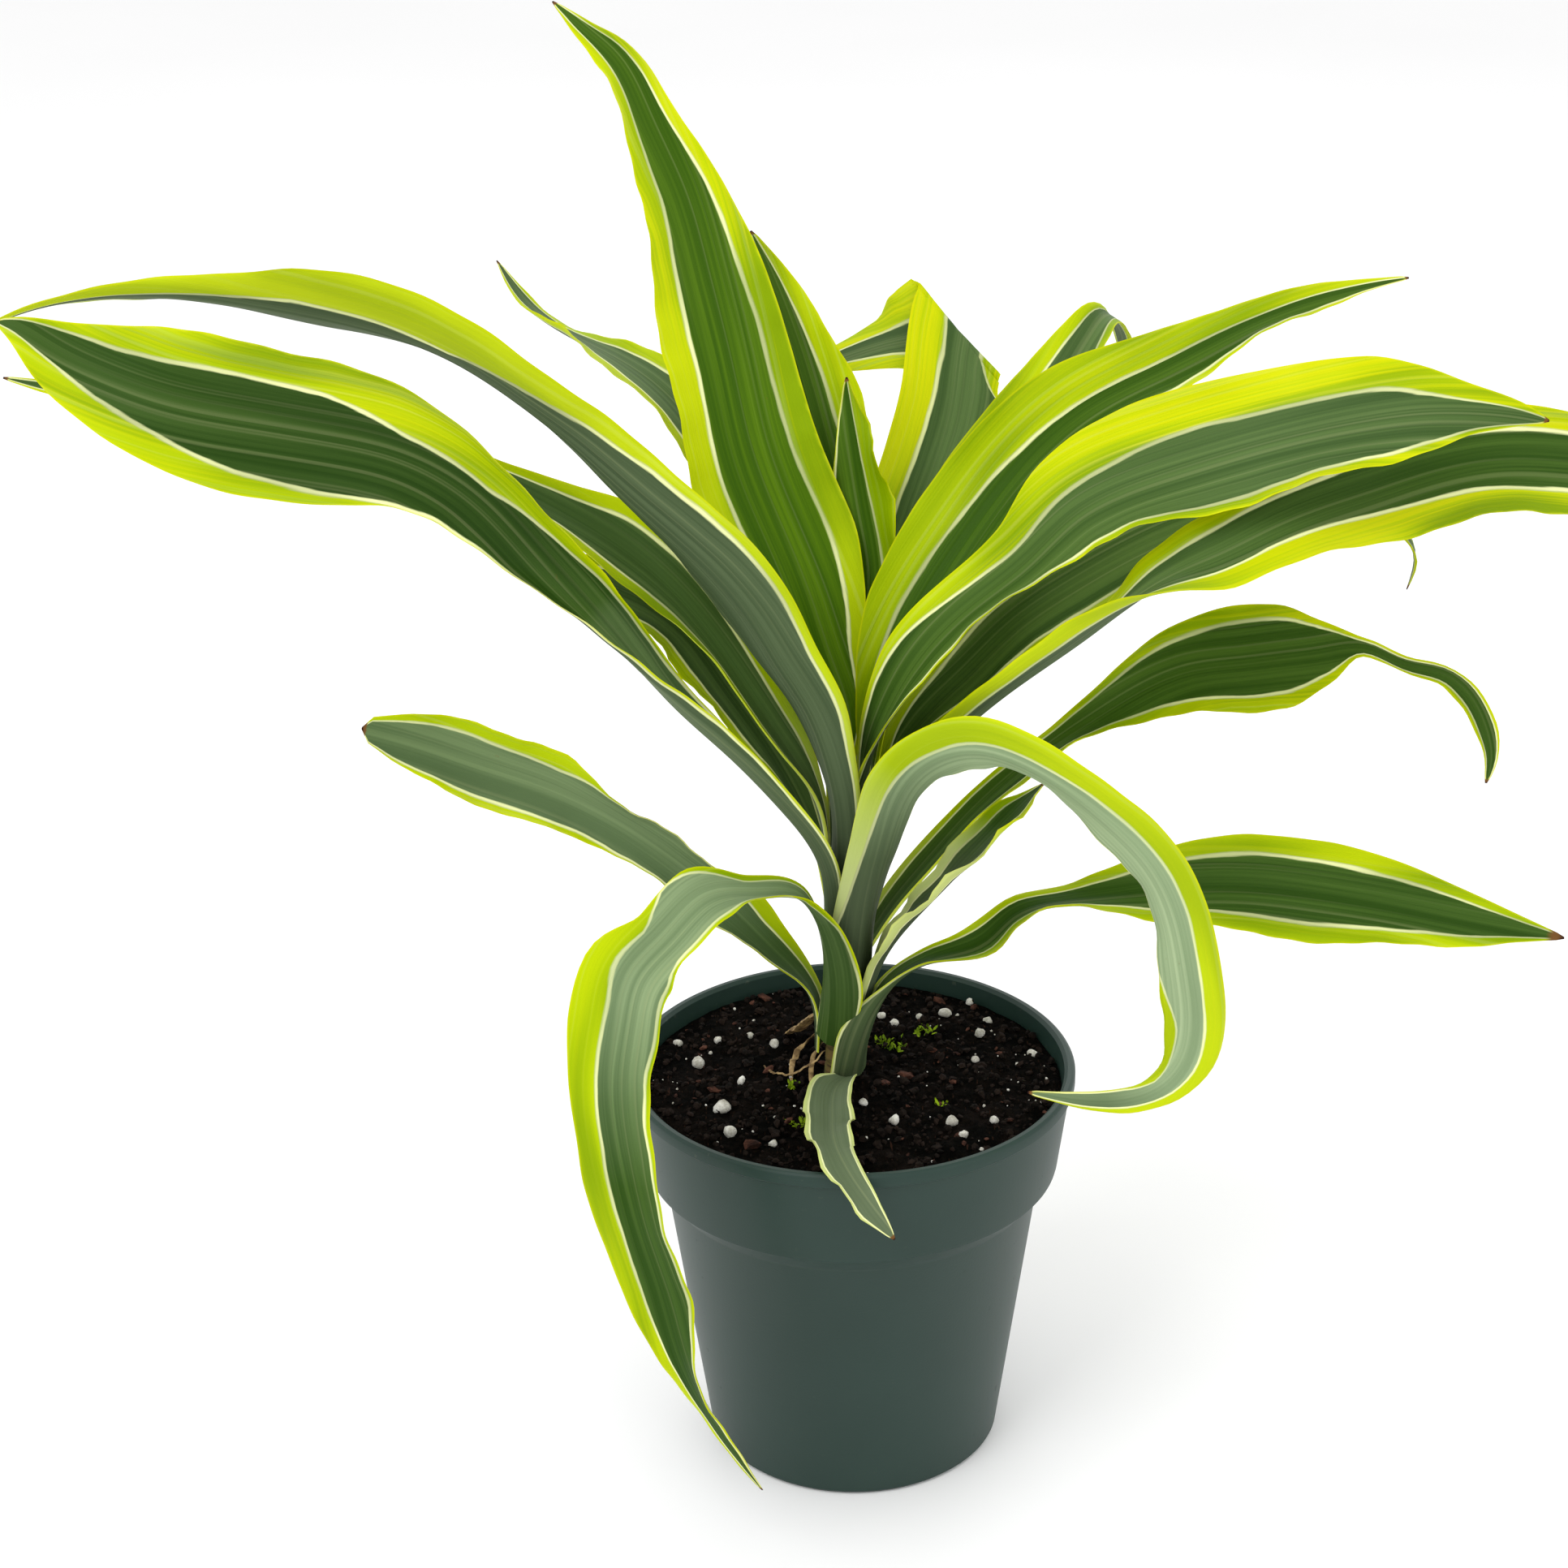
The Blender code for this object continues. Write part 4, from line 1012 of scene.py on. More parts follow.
    def strew_moss(self) -> None:
        """Plant small tufts of moss leaflets."""
        draw = random.Random(f"{self.seed} moss")
        shape = bmesh.new()
        for x, y, spread, count in self.moss_spots:
            for _ in range(count):
                angle, distance = draw.uniform(0, math.tau), spread * math.sqrt(draw.random())
                px, py = (x + distance * math.cos(angle)) * MM, (y + distance * math.sin(angle)) * MM
                length = draw.uniform(*self.leaflet_lengths) * MM
                lean = Matrix.Rotation(draw.uniform(*self.leaflet_leans), 4, "X")
                turn = Matrix.Rotation(draw.uniform(0, math.tau), 4, "Z")
                rise = Matrix.Translation((0, 0, length * self.leaflet_middle))
                place = Matrix.Translation((px, py, self.surface(px, py)))
                matrix = place @ turn @ lean @ rise @ Matrix.Diagonal((*self.leaflet_shape, 1.0))
                bmesh.ops.create_icosphere(shape, subdivisions=1, radius=length / 2, matrix=matrix)
        mesh = as_mesh(shape, Grain.MOSS.value)
        add_piece(Grain.MOSS.value, mesh, GRAIN_FINISHES[Grain.MOSS].material())


@dataclass(frozen=True)
class BarkFinish:
    """Olive-brown young bark with rings and dry papery scraps."""

    olive: Colour = srgb(96, 92, 44)
    brown: Colour = srgb(112, 84, 48)
    dark: Colour = srgb(48, 38, 24)
    ring_scales: tuple[float, float, float] = (120.0, 120.0, 900.0)
    cloud_scale: float = 260.0
    brown_edge: Pair = (0.35, 0.65)
    ring_edge: Pair = (0.55, 0.7)
    ring_share: float = 0.8
    roughness: float = 0.6
    relief: float = 0.0006
    relief_strength: float = 0.9

    def material(self) -> bpy.types.Material:
        """Build the material of the cane.

        Returns:
            The material.
        """
        shader = Shader("cane_bark")
        place = shader.place()
        rings = shader.noise(shader.scaled(place, self.ring_scales), 1.0, 3.0)
        cloud = shader.noise(place, self.cloud_scale, 4.0, 0.6)
        colour = shader.mix(shader.step(cloud, *self.brown_edge), self.olive, self.brown)
        colour = shader.mix(shader.step(rings, *self.ring_edge) * self.ring_share, colour, self.dark)
        shader.bump(rings * 0.6 + cloud * 0.4, self.relief, self.relief_strength)
        return shader.finish(colour, self.roughness + cloud * 0.25)


@dataclass
class Cane:
    """The short leaning cane with the scars of old leaves."""

    # x, height and radius in mm
    stations: tuple = (
        (-3.5, 62, 4.0), (-3.0, 93, 3.8), (-1.0, 133, 3.4), (0.5, 158, 2.8), (1.0, 167, 2.0),
    )
    rows: int = 150
    sides: int = 40
    scar_gap: float = 4.5
    scar_depth: float = 0.32
    scar_tilt: float = 0.35
    sheath_gap: float = 0.05
    finish: BarkFinish = field(default_factory=BarkFinish)

    def build(self) -> bpy.types.Object:
        """Wrap the cane round its axis and dress it.

        Returns:
            The cane.
        """
        middles, heights, radii = np.array(self.stations, float).T
        along = np.linspace(0.0, 1.0, self.rows + 1)
        height = (heights[0] + (heights[-1] - heights[0]) * along)[:, None]
        middle = np.interp(height, heights, middles)
        radius = np.interp(height, heights, radii)
        around = np.linspace(0.0, math.tau, self.sides + 1)
        scars = np.abs(np.sin(math.pi * (height / self.scar_gap + np.cos(around) * self.scar_tilt)))
        reach = radius - self.scar_depth * (1 - scars) ** 3 - self.sheath_gap
        level = np.broadcast_to(height, reach.shape)
        points = np.stack([middle + reach * np.cos(around), reach * np.sin(around), level], axis=-1)
        points[:, -1] = points[:, 0]
        mesh = closed_skin("cane_stem", points * MM)
        return add_piece("cane_stem", mesh, self.finish.material(), "cane")


@dataclass(frozen=True)
class StrandFinish:
    """Papery tan of dried leaf fibres."""

    light: Colour = srgb(176, 148, 100)
    dark: Colour = srgb(98, 76, 46)
    cloud_scale: float = 380.0
    light_edge: Pair = (0.35, 0.65)
    roughness: float = 0.8
    relief: float = 0.0003
    relief_strength: float = 0.7

    def material(self) -> bpy.types.Material:
        """Build the material of the dried strands.

        Returns:
            The material.
        """
        shader = Shader("dried_strand")
        cloud = shader.noise(shader.place(), self.cloud_scale, 3.0, 0.6)
        shader.bump(cloud, self.relief, self.relief_strength)
        colour = shader.mix(shader.step(cloud, *self.light_edge), self.dark, self.light)
        return shader.finish(colour, self.roughness)


@dataclass
class Strands:
    """Dried strands and a flake of an old leaf at the cane's foot."""

    soil: Soil
    finish: StrandFinish = field(default_factory=StrandFinish)

    # For each strand: its width in mm, then x, y and height above the soil of each point on it
    runs: tuple = (
        (1.6, (-6.5, 4, 9), (-8.5, 10, 5), (-11.5, 12, 1.6), (-14, 5, 0.8), (-14.5, -3, 0.4)),
        (1.2, (-5.5, 2, 10), (-9, 1, 4), (-9.5, -6, 1), (-8, -13, 0.4)),
        (4.2, (-7, 6, 12), (-10.5, 12, 8), (-13.5, 17, 3), (-15.5, 20, 0.8)),
        (0.9, (-6, 0, 7), (-12, -2, 2.2), (-18, -1, 0.8), (-21, 4, 0.4)),
    )
    sides: int = 8
    rows: int = 40
    flatness: float = 0.35
    end_width: float = 0.25
    blunt_end: float = 0.02

    def build(self) -> None:
        """Build each strand as a flat closed ribbon on the soil."""
        material = self.finish.material()
        for index, (width, *path) in enumerate(self.runs):
            table = np.array(path, float)
            times = chord_times(table)
            along = np.linspace(0.0, 1.0, self.rows + 1)
            middle, slope = curve_through(times, table, along)
            middle[:, 2] += [self.soil.surface(x * MM, y * MM) / MM for x, y in middle[:, :2]]
            forward = slope / np.linalg.norm(slope, axis=1)[:, None]
            side = np.cross(forward, (0.0, 0.0, 1.0))
            side /= np.linalg.norm(side, axis=1)[:, None]
            face = np.cross(side, forward)
            around = np.linspace(0.0, math.tau, self.sides + 1)[None, :, None]
            swell = np.sin(math.pi * np.clip(along, self.blunt_end, 1 - self.blunt_end)) ** 0.5
            taper = (self.end_width + (1 - self.end_width) * swell)[:, None, None]
            ring = side[:, None] * np.cos(around) + self.flatness * face[:, None] * np.sin(around)
            points = middle[:, None] + taper * width / 2 * ring
            points[:, -1] = points[:, 0]
            name = f"dried_strand_{index + 1}"
            add_piece(name, closed_skin(name, points * MM), material)


def chord_times(path: np.ndarray) -> np.ndarray:
    """Return the share of the path's length at each of its points."""
    times = np.concatenate([[0.0], np.cumsum(np.linalg.norm(np.diff(path, axis=0), axis=1))])
    return times / times[-1]


def curve_through(
    times: np.ndarray, points: np.ndarray, samples: np.ndarray
) -> tuple[np.ndarray, np.ndarray]:
    """Run a natural cubic curve through points.

    Args:
        times: the curve's parameter at each point.
        points: the points, one a row.
        samples: the parameters to read it at.

    Returns:
        The places and the slopes there.
    """
    count = len(times)
    steps = np.diff(times)
    rates = np.diff(points, axis=0) / steps[:, None]
    matrix = np.eye(count)
    targets = np.zeros_like(points)
    for i in range(1, count - 1):
        matrix[i, i - 1 : i + 2] = (steps[i - 1], 2 * (steps[i - 1] + steps[i]), steps[i])
        targets[i] = 6 * (rates[i] - rates[i - 1])
    bend = np.linalg.solve(matrix, targets)
    i = np.clip(np.searchsorted(times, samples, side="right") - 1, 0, count - 2)
    step = steps[i][:, None]
    after = (samples - times[i])[:, None] / step
    before = 1 - after
    values = before * points[i] + after * points[i + 1]
    values += ((before**3 - before) * bend[i] + (after**3 - after) * bend[i + 1]) * step**2 / 6
    slopes = rates[i] + ((3 * after**2 - 1) * bend[i + 1] - (3 * before**2 - 1) * bend[i]) * step / 6
    return values, slopes


def eased(times: np.ndarray, values: np.ndarray, samples: np.ndarray) -> np.ndarray:
    """Read values between stations, with no overshoot past either neighbour.

    Args:
        times: the parameter at each station.
        values: the value at each station.
        samples: the parameters to read at.

    Returns:
        The values there.
    """
    rates = np.diff(values) / np.diff(times)
    slopes = np.concatenate([rates[:1], np.zeros(len(values) - 2), rates[-1:]])
    for k in range(1, len(values) - 1):
        if rates[k - 1] * rates[k] > 0:
            slopes[k] = 2 * rates[k - 1] * rates[k] / (rates[k - 1] + rates[k])
    i = np.clip(np.searchsorted(times, samples, side="right") - 1, 0, len(times) - 2)
    step = times[i + 1] - times[i]
    s = (samples - times[i]) / step
    start = (1 + 2 * s) * (1 - s) ** 2 * values[i] + s * (1 - s) ** 2 * step * slopes[i]
    end = s**2 * (3 - 2 * s) * values[i + 1] + s**2 * (s - 1) * step * slopes[i + 1]
    return start + end


@dataclass(frozen=True)
class LeafFinish:
    """Variegated blade: a dark centre with pale streaks, a cream line and a lime margin, duller below."""

    # Painted shade: the dark green that a shaded blade's centre is darkened towards
    painted_shade_centre: Colour = srgb(20, 44, 6)
    centre: Colour = srgb(40, 68, 16)
    centre_pale: Colour = srgb(72, 100, 42)
    centre_fresh: Colour = srgb(56, 92, 0)
    streak_fresh: Colour = srgb(98, 134, 6)
    lime: Colour = srgb(176, 198, 0)
    lime_deep: Colour = srgb(128, 156, 0)
    lime_gold: Colour = srgb(214, 212, 0)
    cream: Colour = srgb(232, 236, 172)
    # Painted sheen: grey greens that stand for white light mirrored off the blade's centre
    painted_sheen: Colour = srgb(164, 183, 141)
    painted_sheen_deep: Colour = srgb(128, 149, 110)
    below: Colour = srgb(82, 99, 66)
    below_deep: Colour = srgb(56, 73, 45)
    below_lime: Colour = srgb(196, 210, 30)
    sheath_green: Colour = srgb(76, 84, 66)
    sheath_cream: Colour = srgb(198, 206, 150)
    dry: Colour = srgb(110, 76, 40)
    dry_dark: Colour = srgb(46, 24, 24)

    # How often each pattern changes, per mm across and along the blade
    drift: Pair = (0.10, 0.030)
    jitter: Pair = (0.9, 0.10)
    broad: Pair = (0.34, 0.006)
    fine: Pair = (1.5, 0.014)
    hair: Pair = (0.9, 0.003)
    blotch: Pair = (0.11, 0.016)
    spot: Pair = (0.5, 0.25)

    # How far in mm the border of the dark centre drifts, and how far it frays
    drift_reach: float = 2.2
    fray_reach: float = 0.7

    # Values of its pattern between which each mark sets in
    streak_edge: Pair = (0.36, 0.68)
    bright_edge: Pair = (0.34, 0.60)
    gold_edge: Pair = (0.40, 0.62)
    lime_edge: Pair = (0.30, 0.95)
    cream_edge: Pair = (-0.50, -0.05)
    cream_gaps: Pair = (0.35, 0.60)
    hair_edge: Pair = (0.56, 0.72)
    rind_edge: Pair = (0.15, 0.55)
    spot_edge: Pair = (0.72, 0.78)
    crisp_edge: Pair = (0.35, 0.62)
    burnt_edge: Pair = (0.72, 0.95)

    # How strongly each mark shows
    mature_streaks: float = 0.75
    young_streaks: float = 0.70
    below_streaks: float = 0.8
    below_share: float = 0.5
    sheath_share: float = 0.65
    sheath_edge_share: float = 0.8
    hair_share: float = 0.06
    rind_share: float = 0.4
    spot_share: float = 0.25

    roughness: float = 0.40
    gloss: float = 0.06
    relief: float = 0.00045
    relief_strength: float = 0.55

    def material(self) -> bpy.types.Material:
        """Build the material that all the blades share, since their marks are attributes of each mesh.

        Returns:
            The material.
        """
        shader = Shader("leaf_variegated")
        grain = shader.node("ShaderNodeAttribute", output=1, attribute_name="grain")

        def pattern(rates: Pair, detail: float = 1.0, rough: float = 0.5) -> Wire:
            """Read noise that changes at its own rates across and along the blade."""
            return shader.noise(shader.scaled(grain, (*rates, 1.0)), 1.0, detail, rough)

        margin, rim, below = map(shader.attribute, ("margin", "rim", "below"))
        fresh, sage, pale, gold_and_light, wither = map(shader.attribute, ("fresh", "sage", "pale", "gold_and_light", "wither"))
        jitter = pattern(self.jitter, 2.0) - 0.5
        edge = margin + (pattern(self.drift) - 0.5) * self.drift_reach + jitter * self.fray_reach
        broad, fine = pattern(self.broad, 2.0), pattern(self.fine, 2.0)
        hair, blotch = pattern(self.hair), pattern(self.blotch)
        streaks = shader.step(broad * 0.65 + fine * 0.35, *self.streak_edge)

        mature = shader.mix(streaks * self.mature_streaks, self.centre, self.centre_pale)
        young = shader.mix(streaks * self.young_streaks, self.centre_fresh, self.streak_fresh)
        centre = shader.mix(fresh, mature, young)
        bright = shader.step(blotch * 0.75 + broad * 0.25, *self.bright_edge)
        lime = shader.mix(bright, self.lime_deep, self.lime)
        golden = shader.step(blotch * 0.5 + fine * 0.5, *self.gold_edge)
        # The margins' gold is partly a real tone and partly painted light: its ramp along the blade paints
        # shade near the base and light further out
        lime = shader.mix(gold_and_light * golden, lime, self.lime_gold)
        under = shader.mix(streaks * self.below_streaks, self.below_deep, self.below)
        centre = shader.mix(below, centre, under)
        # Painted sheen: the grey of mirrored light laid over the centre, as far as the sheen-and-shade
        # value is above zero
        centre = shader.mix(sage, centre, shader.mix(streaks, self.painted_sheen_deep, self.painted_sheen))
        # Painted shade: the centre darkened as far as the sheen-and-shade value is below zero
        centre = shader.mix(sage * -1, centre, self.painted_shade_centre)
        lime = shader.mix(below * self.below_share, lime, self.below_lime)
        centre = shader.mix(pale * self.sheath_share, centre, self.sheath_green)
        lime = shader.mix(pale * self.sheath_edge_share, lime, self.sheath_cream)

        outer = shader.step(edge, *self.lime_edge)
        colour = shader.mix(outer, centre, lime)
        line = shader.step(edge, *self.cream_edge) * (1 - outer)
        hairs = shader.step(hair, *self.hair_edge)
        colour = shader.mix(hairs * self.hair_share, colour, self.cream)
        whole = shader.step(blotch, *self.cream_gaps)
        colour = shader.mix(line * (0.5 + 0.5 * whole), colour, self.cream)
        rind = (1 - shader.step(rim, *self.rind_edge)) * (1 - pale * self.sheath_edge_share)
        colour = shader.mix(rind * self.rind_share, colour, self.lime_gold)
        spots = shader.step(pattern(self.spot, 4.0, 0.6), *self.spot_edge)
        crisp = shader.step(wither + jitter * 0.35, *self.crisp_edge)
        colour = shader.mix(crisp, colour, self.dry)
        burnt = shader.step(wither + jitter * 0.4, *self.burnt_edge)
        colour = shader.mix(burnt, colour, self.dry_dark)
        colour = shader.mix(spots * self.spot_share, colour, self.dry)
        shader.bump(fine * 0.65 + broad * 0.35, self.relief, self.relief_strength)
        rough = self.roughness + fine * 0.10 + below * 0.12 + crisp * 0.3
        return shader.finish(colour, rough, self.gloss)


@dataclass(frozen=True)
class Look:
    """How one blade is marked.

    left and right are the shares of the half-width where the dark centre ends, seen from above along the
    blade, each given at shares of the length. sage paints sheen, the grey of white light
    mirrored off the centre, where it is above zero, and shade that darkens the centre where it is below
    zero, also at shares of the length. fresh is how young its green is, pale how far its base is bleached,
    up to the share bleach_end of its length, gold_and_light how yellow its margins are, ramped from base to
    tip as painted shade near the base and painted light further out, dull how grey its underside is, clasp
    how much wider its base wraps the cane, wither the length of its dry tip in mm and ripple the height of
    the waves along its edges.
    """

    left: tuple = ((0, 0.60),)
    right: tuple = ((0, 0.60),)
    fresh: float = 0.15
    sage: tuple = ((0, 0.0),)
    pale: float = 0.5
    bleach_end: float = 0.20
    gold_and_light: float = 0.15
    dull: float = 1.0
    clasp: float = 1.0
    wither: float = 1.5
    ripple: float = 1.0


class Station(IntEnum):
    """The numbers of a leaf's station that follow its x, y and z."""

    ROLL = 3
    WIDTH = 4
    HALF_ANGLE = 5
    SLANT = 6


@dataclass
class Blade:
    """One strap leaf: a waved, channelled blade along its midrib. Its sizes are in mm and degrees."""

    name: str
    heading: float
    stations: tuple
    look: Look
    seed: float
    row_length: float = 2.0
    least_rows: int = 3
    columns: int = 28
    crowding: float = 0.25
    edge_thickness: float = 0.45
    rib_thickness: float = 1.0
    rib_rise: float = 0.35
    rib_reach: float = 1.1
    groove: float = 0.45
    ripple_height: float = 1.0
    ripples: int = 5
    far_edge_lag: float = 2.1
    crinkle_height: float = 0.22
    crinkles: int = 19
    crinkle_lag: float = 2.6
    tip_half_width: float = 0.25
    widest_fold: float = 100.0

    # Shares of the length: where the clasp ends, where the waves start, and how far each fades
    clasp_end: float = 0.16
    clasp_run: float = 0.10
    wave_start: float = 0.15
    wave_run: float = 0.20
    wave_end_run: float = 0.12

    # How fast the rib and the thickness fade at the tip, how the edges thin, and where the groove is whole
    rib_fade: float = 1.6
    tip_fade: float = 8.0
    tip_share: float = 0.3
    edge_thinning: float = 0.7
    edge_power: int = 14
    full_groove: float = 8.0
    groove_below: float = 0.6

    # Half-width from which the patterns are full size, how green and bleach change on the way, and the ramp
    # of the margins' gold, which paints shade near the base and light further out
    full_pattern: float = 12.0
    least_pattern: float = 0.35
    fresh_start: float = 1.25
    fresh_drop: float = 0.8
    bleach_run: float = 0.16
    light_ramp_places: Pair = (0.25, 0.65)
    light_ramp_shares: Pair = (0.15, 1.1)
    grain_shift: float = 7.3

    # Least length in mm over which a tip dries
    least_wither: float = 0.1

    @cached_property
    def table(self) -> np.ndarray:
        """Return the stations, one a row, each with all its numbers."""
        whole = 1 + max(Station)
        return np.array([station + (0,) * (whole - len(station)) for station in self.stations], float)

    @cached_property
    def path(self) -> np.ndarray:
        """Return the places of the stations."""
        return self.table[:, : Station.ROLL]

    @cached_property
    def times(self) -> np.ndarray:
        """Return the share of the length at each station."""
        return chord_times(self.path)

    @cached_property
    def spans(self) -> np.ndarray:
        """Return the distance in mm from each station to the next."""
        return np.linalg.norm(np.diff(self.path, axis=0), axis=1)

    @cached_property
    def along(self) -> np.ndarray:
        """Space the rows about one row length apart, with one at each station.

        Returns:
            The share of the length at each row, as a column.
        """
        counts = np.maximum(self.least_rows, np.round(self.spans / self.row_length)).astype(int)
        runs = zip(self.times, self.times[1:], counts)
        return np.concatenate([np.linspace(*run, endpoint=False) for run in runs] + [[1.0]])[:, None]

    @cached_property
    def top(self) -> np.ndarray:
        """Return whether each column is on the upper face."""
        return np.arange(2 * self.columns + 1) <= self.columns

    @cached_property
    def across(self) -> np.ndarray:
        """Space the columns over the upper face and back under it, closer towards the edges.

        Returns:
            The place across the blade at each column, from -1 to 1.
        """
        around = np.linspace(0.0, 2.0, 2 * self.columns + 1)
        across = np.where(self.top, 2 * around - 1, 3 - 2 * around)
        return np.sin(across * math.pi / 2) * self.crowding + across * (1 - self.crowding)

    @cached_property
    def clasp(self) -> np.ndarray:
        """Return how many times wider the blade is at each row where it wraps the cane."""
        wrap = np.clip((self.clasp_end - self.along) / self.clasp_run, 0, 1) ** 1.5
        return 1 + (self.look.clasp - 1) * wrap

    @cached_property
    def half_width(self) -> np.ndarray:
        """Read the blade's width, with a blunt tip.

        Returns:
            Half the width in mm at each row, as a column.
        """
        half_width = self.read(Station.WIDTH) / 2 * self.clasp
        half_width[-1] = np.minimum(half_width[-1], self.tip_half_width)
        return half_width

    def read(self, number: Station) -> np.ndarray:
        """Read one of the stations' numbers at each row."""
        return eased(self.times, self.table[:, number], self.along)

    def directions(self) -> tuple[np.ndarray, np.ndarray, np.ndarray]:
        """Run the midrib and turn the blade about it.

        Returns:
            The midrib's place at each row, and the ways across the blade and out of its face there.
        """
        midrib, slope = curve_through(self.times, self.path, self.along[:, 0])
        forward = slope / np.linalg.norm(slope, axis=1)[:, None]
        heading = math.radians(self.heading)
        left = np.array([-math.sin(heading), math.cos(heading), 0.0])
        side = left - (forward @ left)[:, None] * forward
        side /= np.linalg.norm(side, axis=1)[:, None]
        face = np.cross(forward, side)
        roll, slant = np.radians(self.read(Station.ROLL)), np.radians(self.read(Station.SLANT))
        side, face = np.cos(roll) * side + np.sin(roll) * face, np.cos(roll) * face - np.sin(roll) * side
        return midrib, side + np.tan(slant) * forward, face

    def waves(self) -> np.ndarray:
        """Wave and crinkle the edges, less towards both ends of the blade.

        Returns:
            The height of the waves in mm at each point of the skin.
        """
        along, across = self.along, self.across
        reach = np.clip((along - self.wave_start) / self.wave_run, 0, 1)
        reach = reach * np.clip((1 - along) / self.wave_end_run, 0, 1)
        phase = math.tau * self.ripples * along + np.where(across > 0, 0.0, self.far_edge_lag)
        wave = self.ripple_height * self.look.ripple * reach * across**2 * np.sin(phase)
        crinkle = np.sin(math.tau * self.crinkles * along + self.seed + self.crinkle_lag * np.sign(across))
        return wave + self.crinkle_height * self.look.ripple * reach * np.abs(across) ** 3 * crinkle

    def lifts(self) -> np.ndarray:
        """Thicken the blade at its midrib, groove it there and wave its edges.

        Returns:
            How far each point of the skin stands off the section's middle line, in mm.
        """
        across, to_tip = self.across, 1 - self.along
        rib = np.exp(-((across * self.half_width / self.rib_reach) ** 2))
        rib = rib * np.clip(to_tip * self.rib_fade, 0, 1)
        body = self.edge_thickness + (self.rib_thickness - self.edge_thickness) * (1 - across**2) * 0.5
        body = (body + self.rib_rise * rib) * np.clip(to_tip * self.tip_fade + self.tip_share, 0, 1)
        body = body * (1 - np.abs(across) ** self.edge_power * self.edge_thinning)
        groove = self.groove * rib * np.clip(self.half_width / self.full_groove, 0, 1)
        skin = np.where(self.top, body / 2 - groove, -body / 2 - groove * self.groove_below)
        return skin + self.waves()

    def marks(self) -> dict[str, np.ndarray]:
        """Work out the numbers that the finish reads.

        Returns:
            The attributes by name, for each point of the skin.
        """
        look, along, half_width = self.look, self.along, self.half_width
        length = self.spans.sum()
        offset = self.across * half_width
        left, right = (np.interp(along, *zip(*pairs)) for pairs in (look.left, look.right))
        borders = half_width * np.where(self.across > 0, left, right)
        fineness = np.clip(half_width / self.full_pattern, self.least_pattern, 1.0)
        whole = np.ones_like(offset)
        from_tip = (1 - along) * length
        grain = (offset, whole * (along * length), whole * self.seed * self.grain_shift)
        return {
            "margin": (np.abs(offset) - borders) / fineness,
            "rim": half_width - np.abs(offset),
            "below": whole * np.where(self.top, 0.0, look.dull),
            "fresh": whole * look.fresh * np.clip(self.fresh_start - self.fresh_drop * along, 0, 1),
            # Painted sheen above zero and painted shade below zero, along the blade
            "sage": whole * np.interp(along, *zip(*look.sage)),
            "pale": whole * look.pale * np.clip((look.bleach_end - along) / self.bleach_run, 0, 1),
            # Real golden tone of the margins, scaled by a ramp that paints shade near the base and light
            # further out
            "gold_and_light": whole * look.gold_and_light * np.interp(along, self.light_ramp_places, self.light_ramp_shares),
            "wither": whole * np.clip(1 - from_tip / max(look.wither, self.least_wither), 0, 1),
            "grain": np.stack(grain, axis=-1),
        }

    def build(self, material: bpy.types.Material) -> bpy.types.Object:
        """Lay out the blade's skin, mark it and dress it.

        Args:
            material: the finish that the blades share.

        Returns:
            The blade.
        """
        midrib, side, face = self.directions()
        half_angle = np.radians(self.read(Station.HALF_ANGLE)) * self.clasp
        half_angle = np.minimum(half_angle, math.radians(self.widest_fold))
        radius = self.half_width / half_angle
        angle = half_angle * self.across
        bent = radius - self.lifts()
        sideways = bent * np.sin(angle)
        rise = radius - bent * np.cos(angle)
        points = midrib[:, None] + side[:, None] * sideways[..., None] + face[:, None] * rise[..., None]
        points[:, -1] = points[:, 0]
        mesh = closed_skin(f"{self.name}_blade", points * MM, self.marks())
        return add_piece(mesh.name, mesh, material, self.name)


@dataclass
class Foliage:
    """All the leaves of the plant."""

    leaves: dict
    looks: dict
    finish: LeafFinish = field(default_factory=LeafFinish)

    def build(self) -> None:
        """Build and dress each leaf."""
        material = self.finish.material()
        for index, (name, (heading, stations)) in enumerate(self.leaves.items()):
            Blade(name, heading, stations, Look(**self.looks[name]), seed=index + 1.0).build(material)


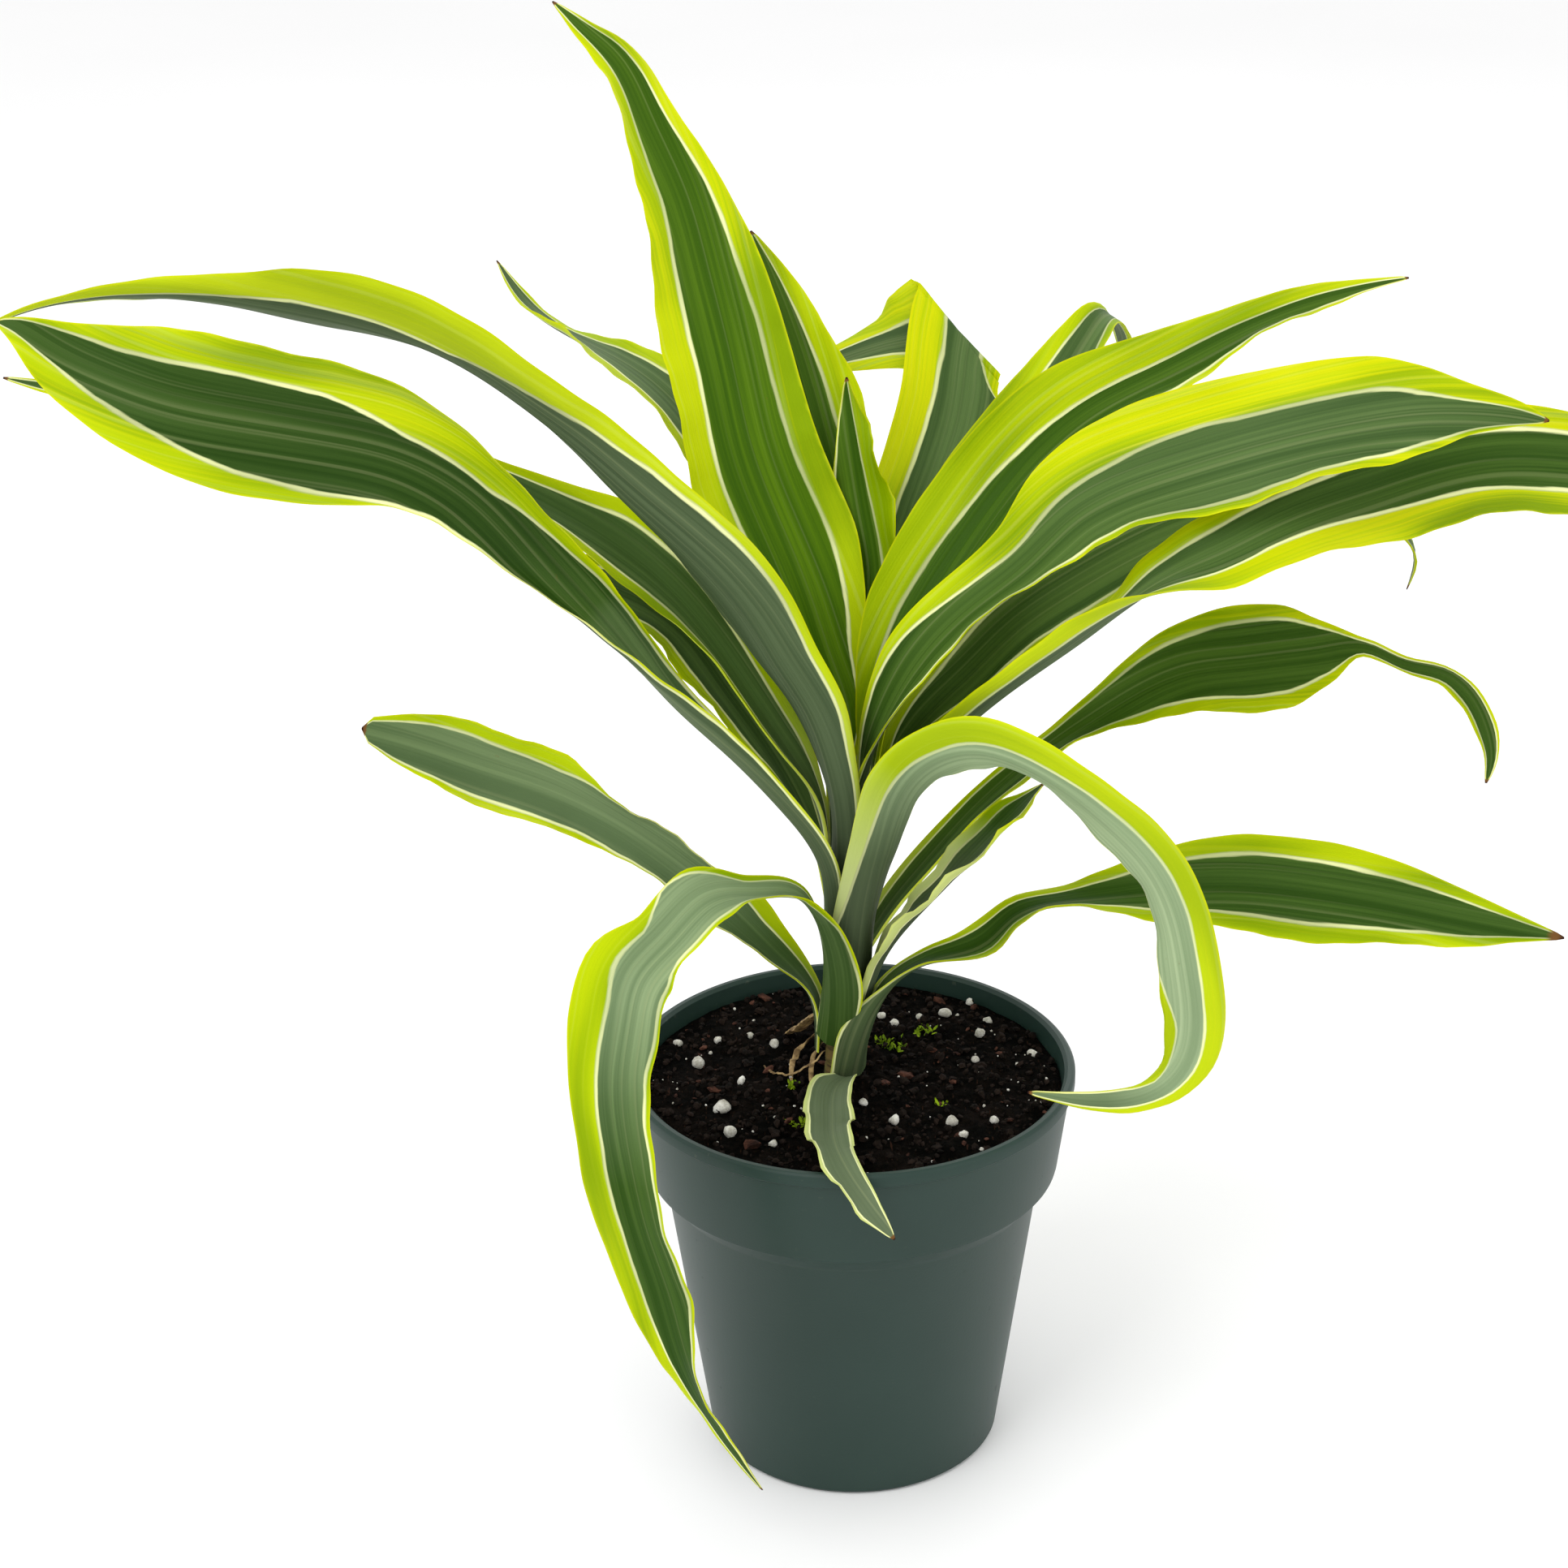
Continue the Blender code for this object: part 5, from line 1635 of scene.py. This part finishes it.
@dataclass(frozen=True)
class Studio:
    """A white floor, soft lights and the camera."""

    floor_reach: float = 5.0
    floor_sides: int = 96
    floor_light: Colour = srgb(250, 250, 250)
    floor_dark: Colour = srgb(246, 246, 246)
    floor_cloud_scale: float = 3.0
    floor_roughness: float = 0.9
    lens: float = 69.0
    sensor: float = 36.0
    camera_place: tuple[float, float, float] = (-0.015, -0.640, 0.449)
    camera_pitch: float = 66.7
    camera_roll: float = -1.0
    world: Colour = (1.0, 1.0, 1.0, 1.0)
    world_strength: float = 1.0
    aim_height: float = 0.14

    # Each lamp: its name, place and size in metres, and power in watts
    lamps: tuple = (
        ("key", (-0.75, -0.75, 1.35), 0.9, 10.0),
        ("fill", (0.95, -0.60, 0.75), 0.9, 2.0),
        ("back", (0.15, 1.10, 1.10), 1.0, 3.0),
    )

    def build(self) -> None:
        """Set up the floor, the lights, the sky and the camera."""
        self.add_floor()
        for lamp in self.lamps:
            self.add_light(*lamp)
        world = bpy.data.worlds.new("studio")
        world.use_nodes = True
        sky = world.node_tree.nodes["Background"]
        sky.inputs["Color"].default_value = self.world
        sky.inputs["Strength"].default_value = self.world_strength
        bpy.context.scene.world = world
        bpy.context.scene.view_settings.view_transform = "Standard"
        self.add_camera()

    def add_floor(self) -> None:
        """Lay the plain white floor."""
        shape = bmesh.new()
        bmesh.ops.create_circle(shape, cap_ends=True, segments=self.floor_sides, radius=self.floor_reach)
        floor = put("floor", as_mesh(shape, "floor"))
        shader = Shader("studio_floor")
        cloud = shader.noise(shader.place(), self.floor_cloud_scale)
        colour = shader.mix(cloud, self.floor_dark, self.floor_light)
        floor.data.materials.append(shader.finish(colour, self.floor_roughness))

    def add_light(self, name: str, place: tuple[float, float, float], size: float, power: float) -> None:
        """Hang a square soft light that faces the plant.

        Args:
            name: the light's name.
            place: its place in metres.
            size: the length of its side in metres.
            power: its power in watts.
        """
        light = bpy.data.lights.new(name, "AREA")
        light.size = size
        light.energy = power
        aim = Vector((0.0, 0.0, self.aim_height)) - Vector(place)
        turn = aim.to_track_quat("-Z", "Y").to_matrix().to_4x4()
        put(name, light).matrix_world = Matrix.Translation(place) @ turn

    def add_camera(self) -> None:
        """Put the camera at the photo's angle."""
        data = bpy.data.cameras.new("camera")
        data.lens = self.lens
        data.sensor_width = self.sensor
        camera = put("camera", data)
        turn = Matrix.Rotation(math.radians(self.camera_pitch), 4, "X")
        roll = Matrix.Rotation(math.radians(self.camera_roll), 4, "Z")
        camera.matrix_world = Matrix.Translation(self.camera_place) @ turn @ roll
        bpy.context.scene.camera = camera


def main() -> None:
    """Load the frame and build the potted plant and its studio."""
    logging.basicConfig(level=logging.INFO, format="%(message)s")
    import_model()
    pot = Pot()
    pot.build()
    soil = Soil(pot)
    soil.build()
    Cane().build()
    Strands(soil).build()
    Foliage(LEAVES, LOOKS).build()
    Studio().build()


if __name__ == "__main__":
    main()
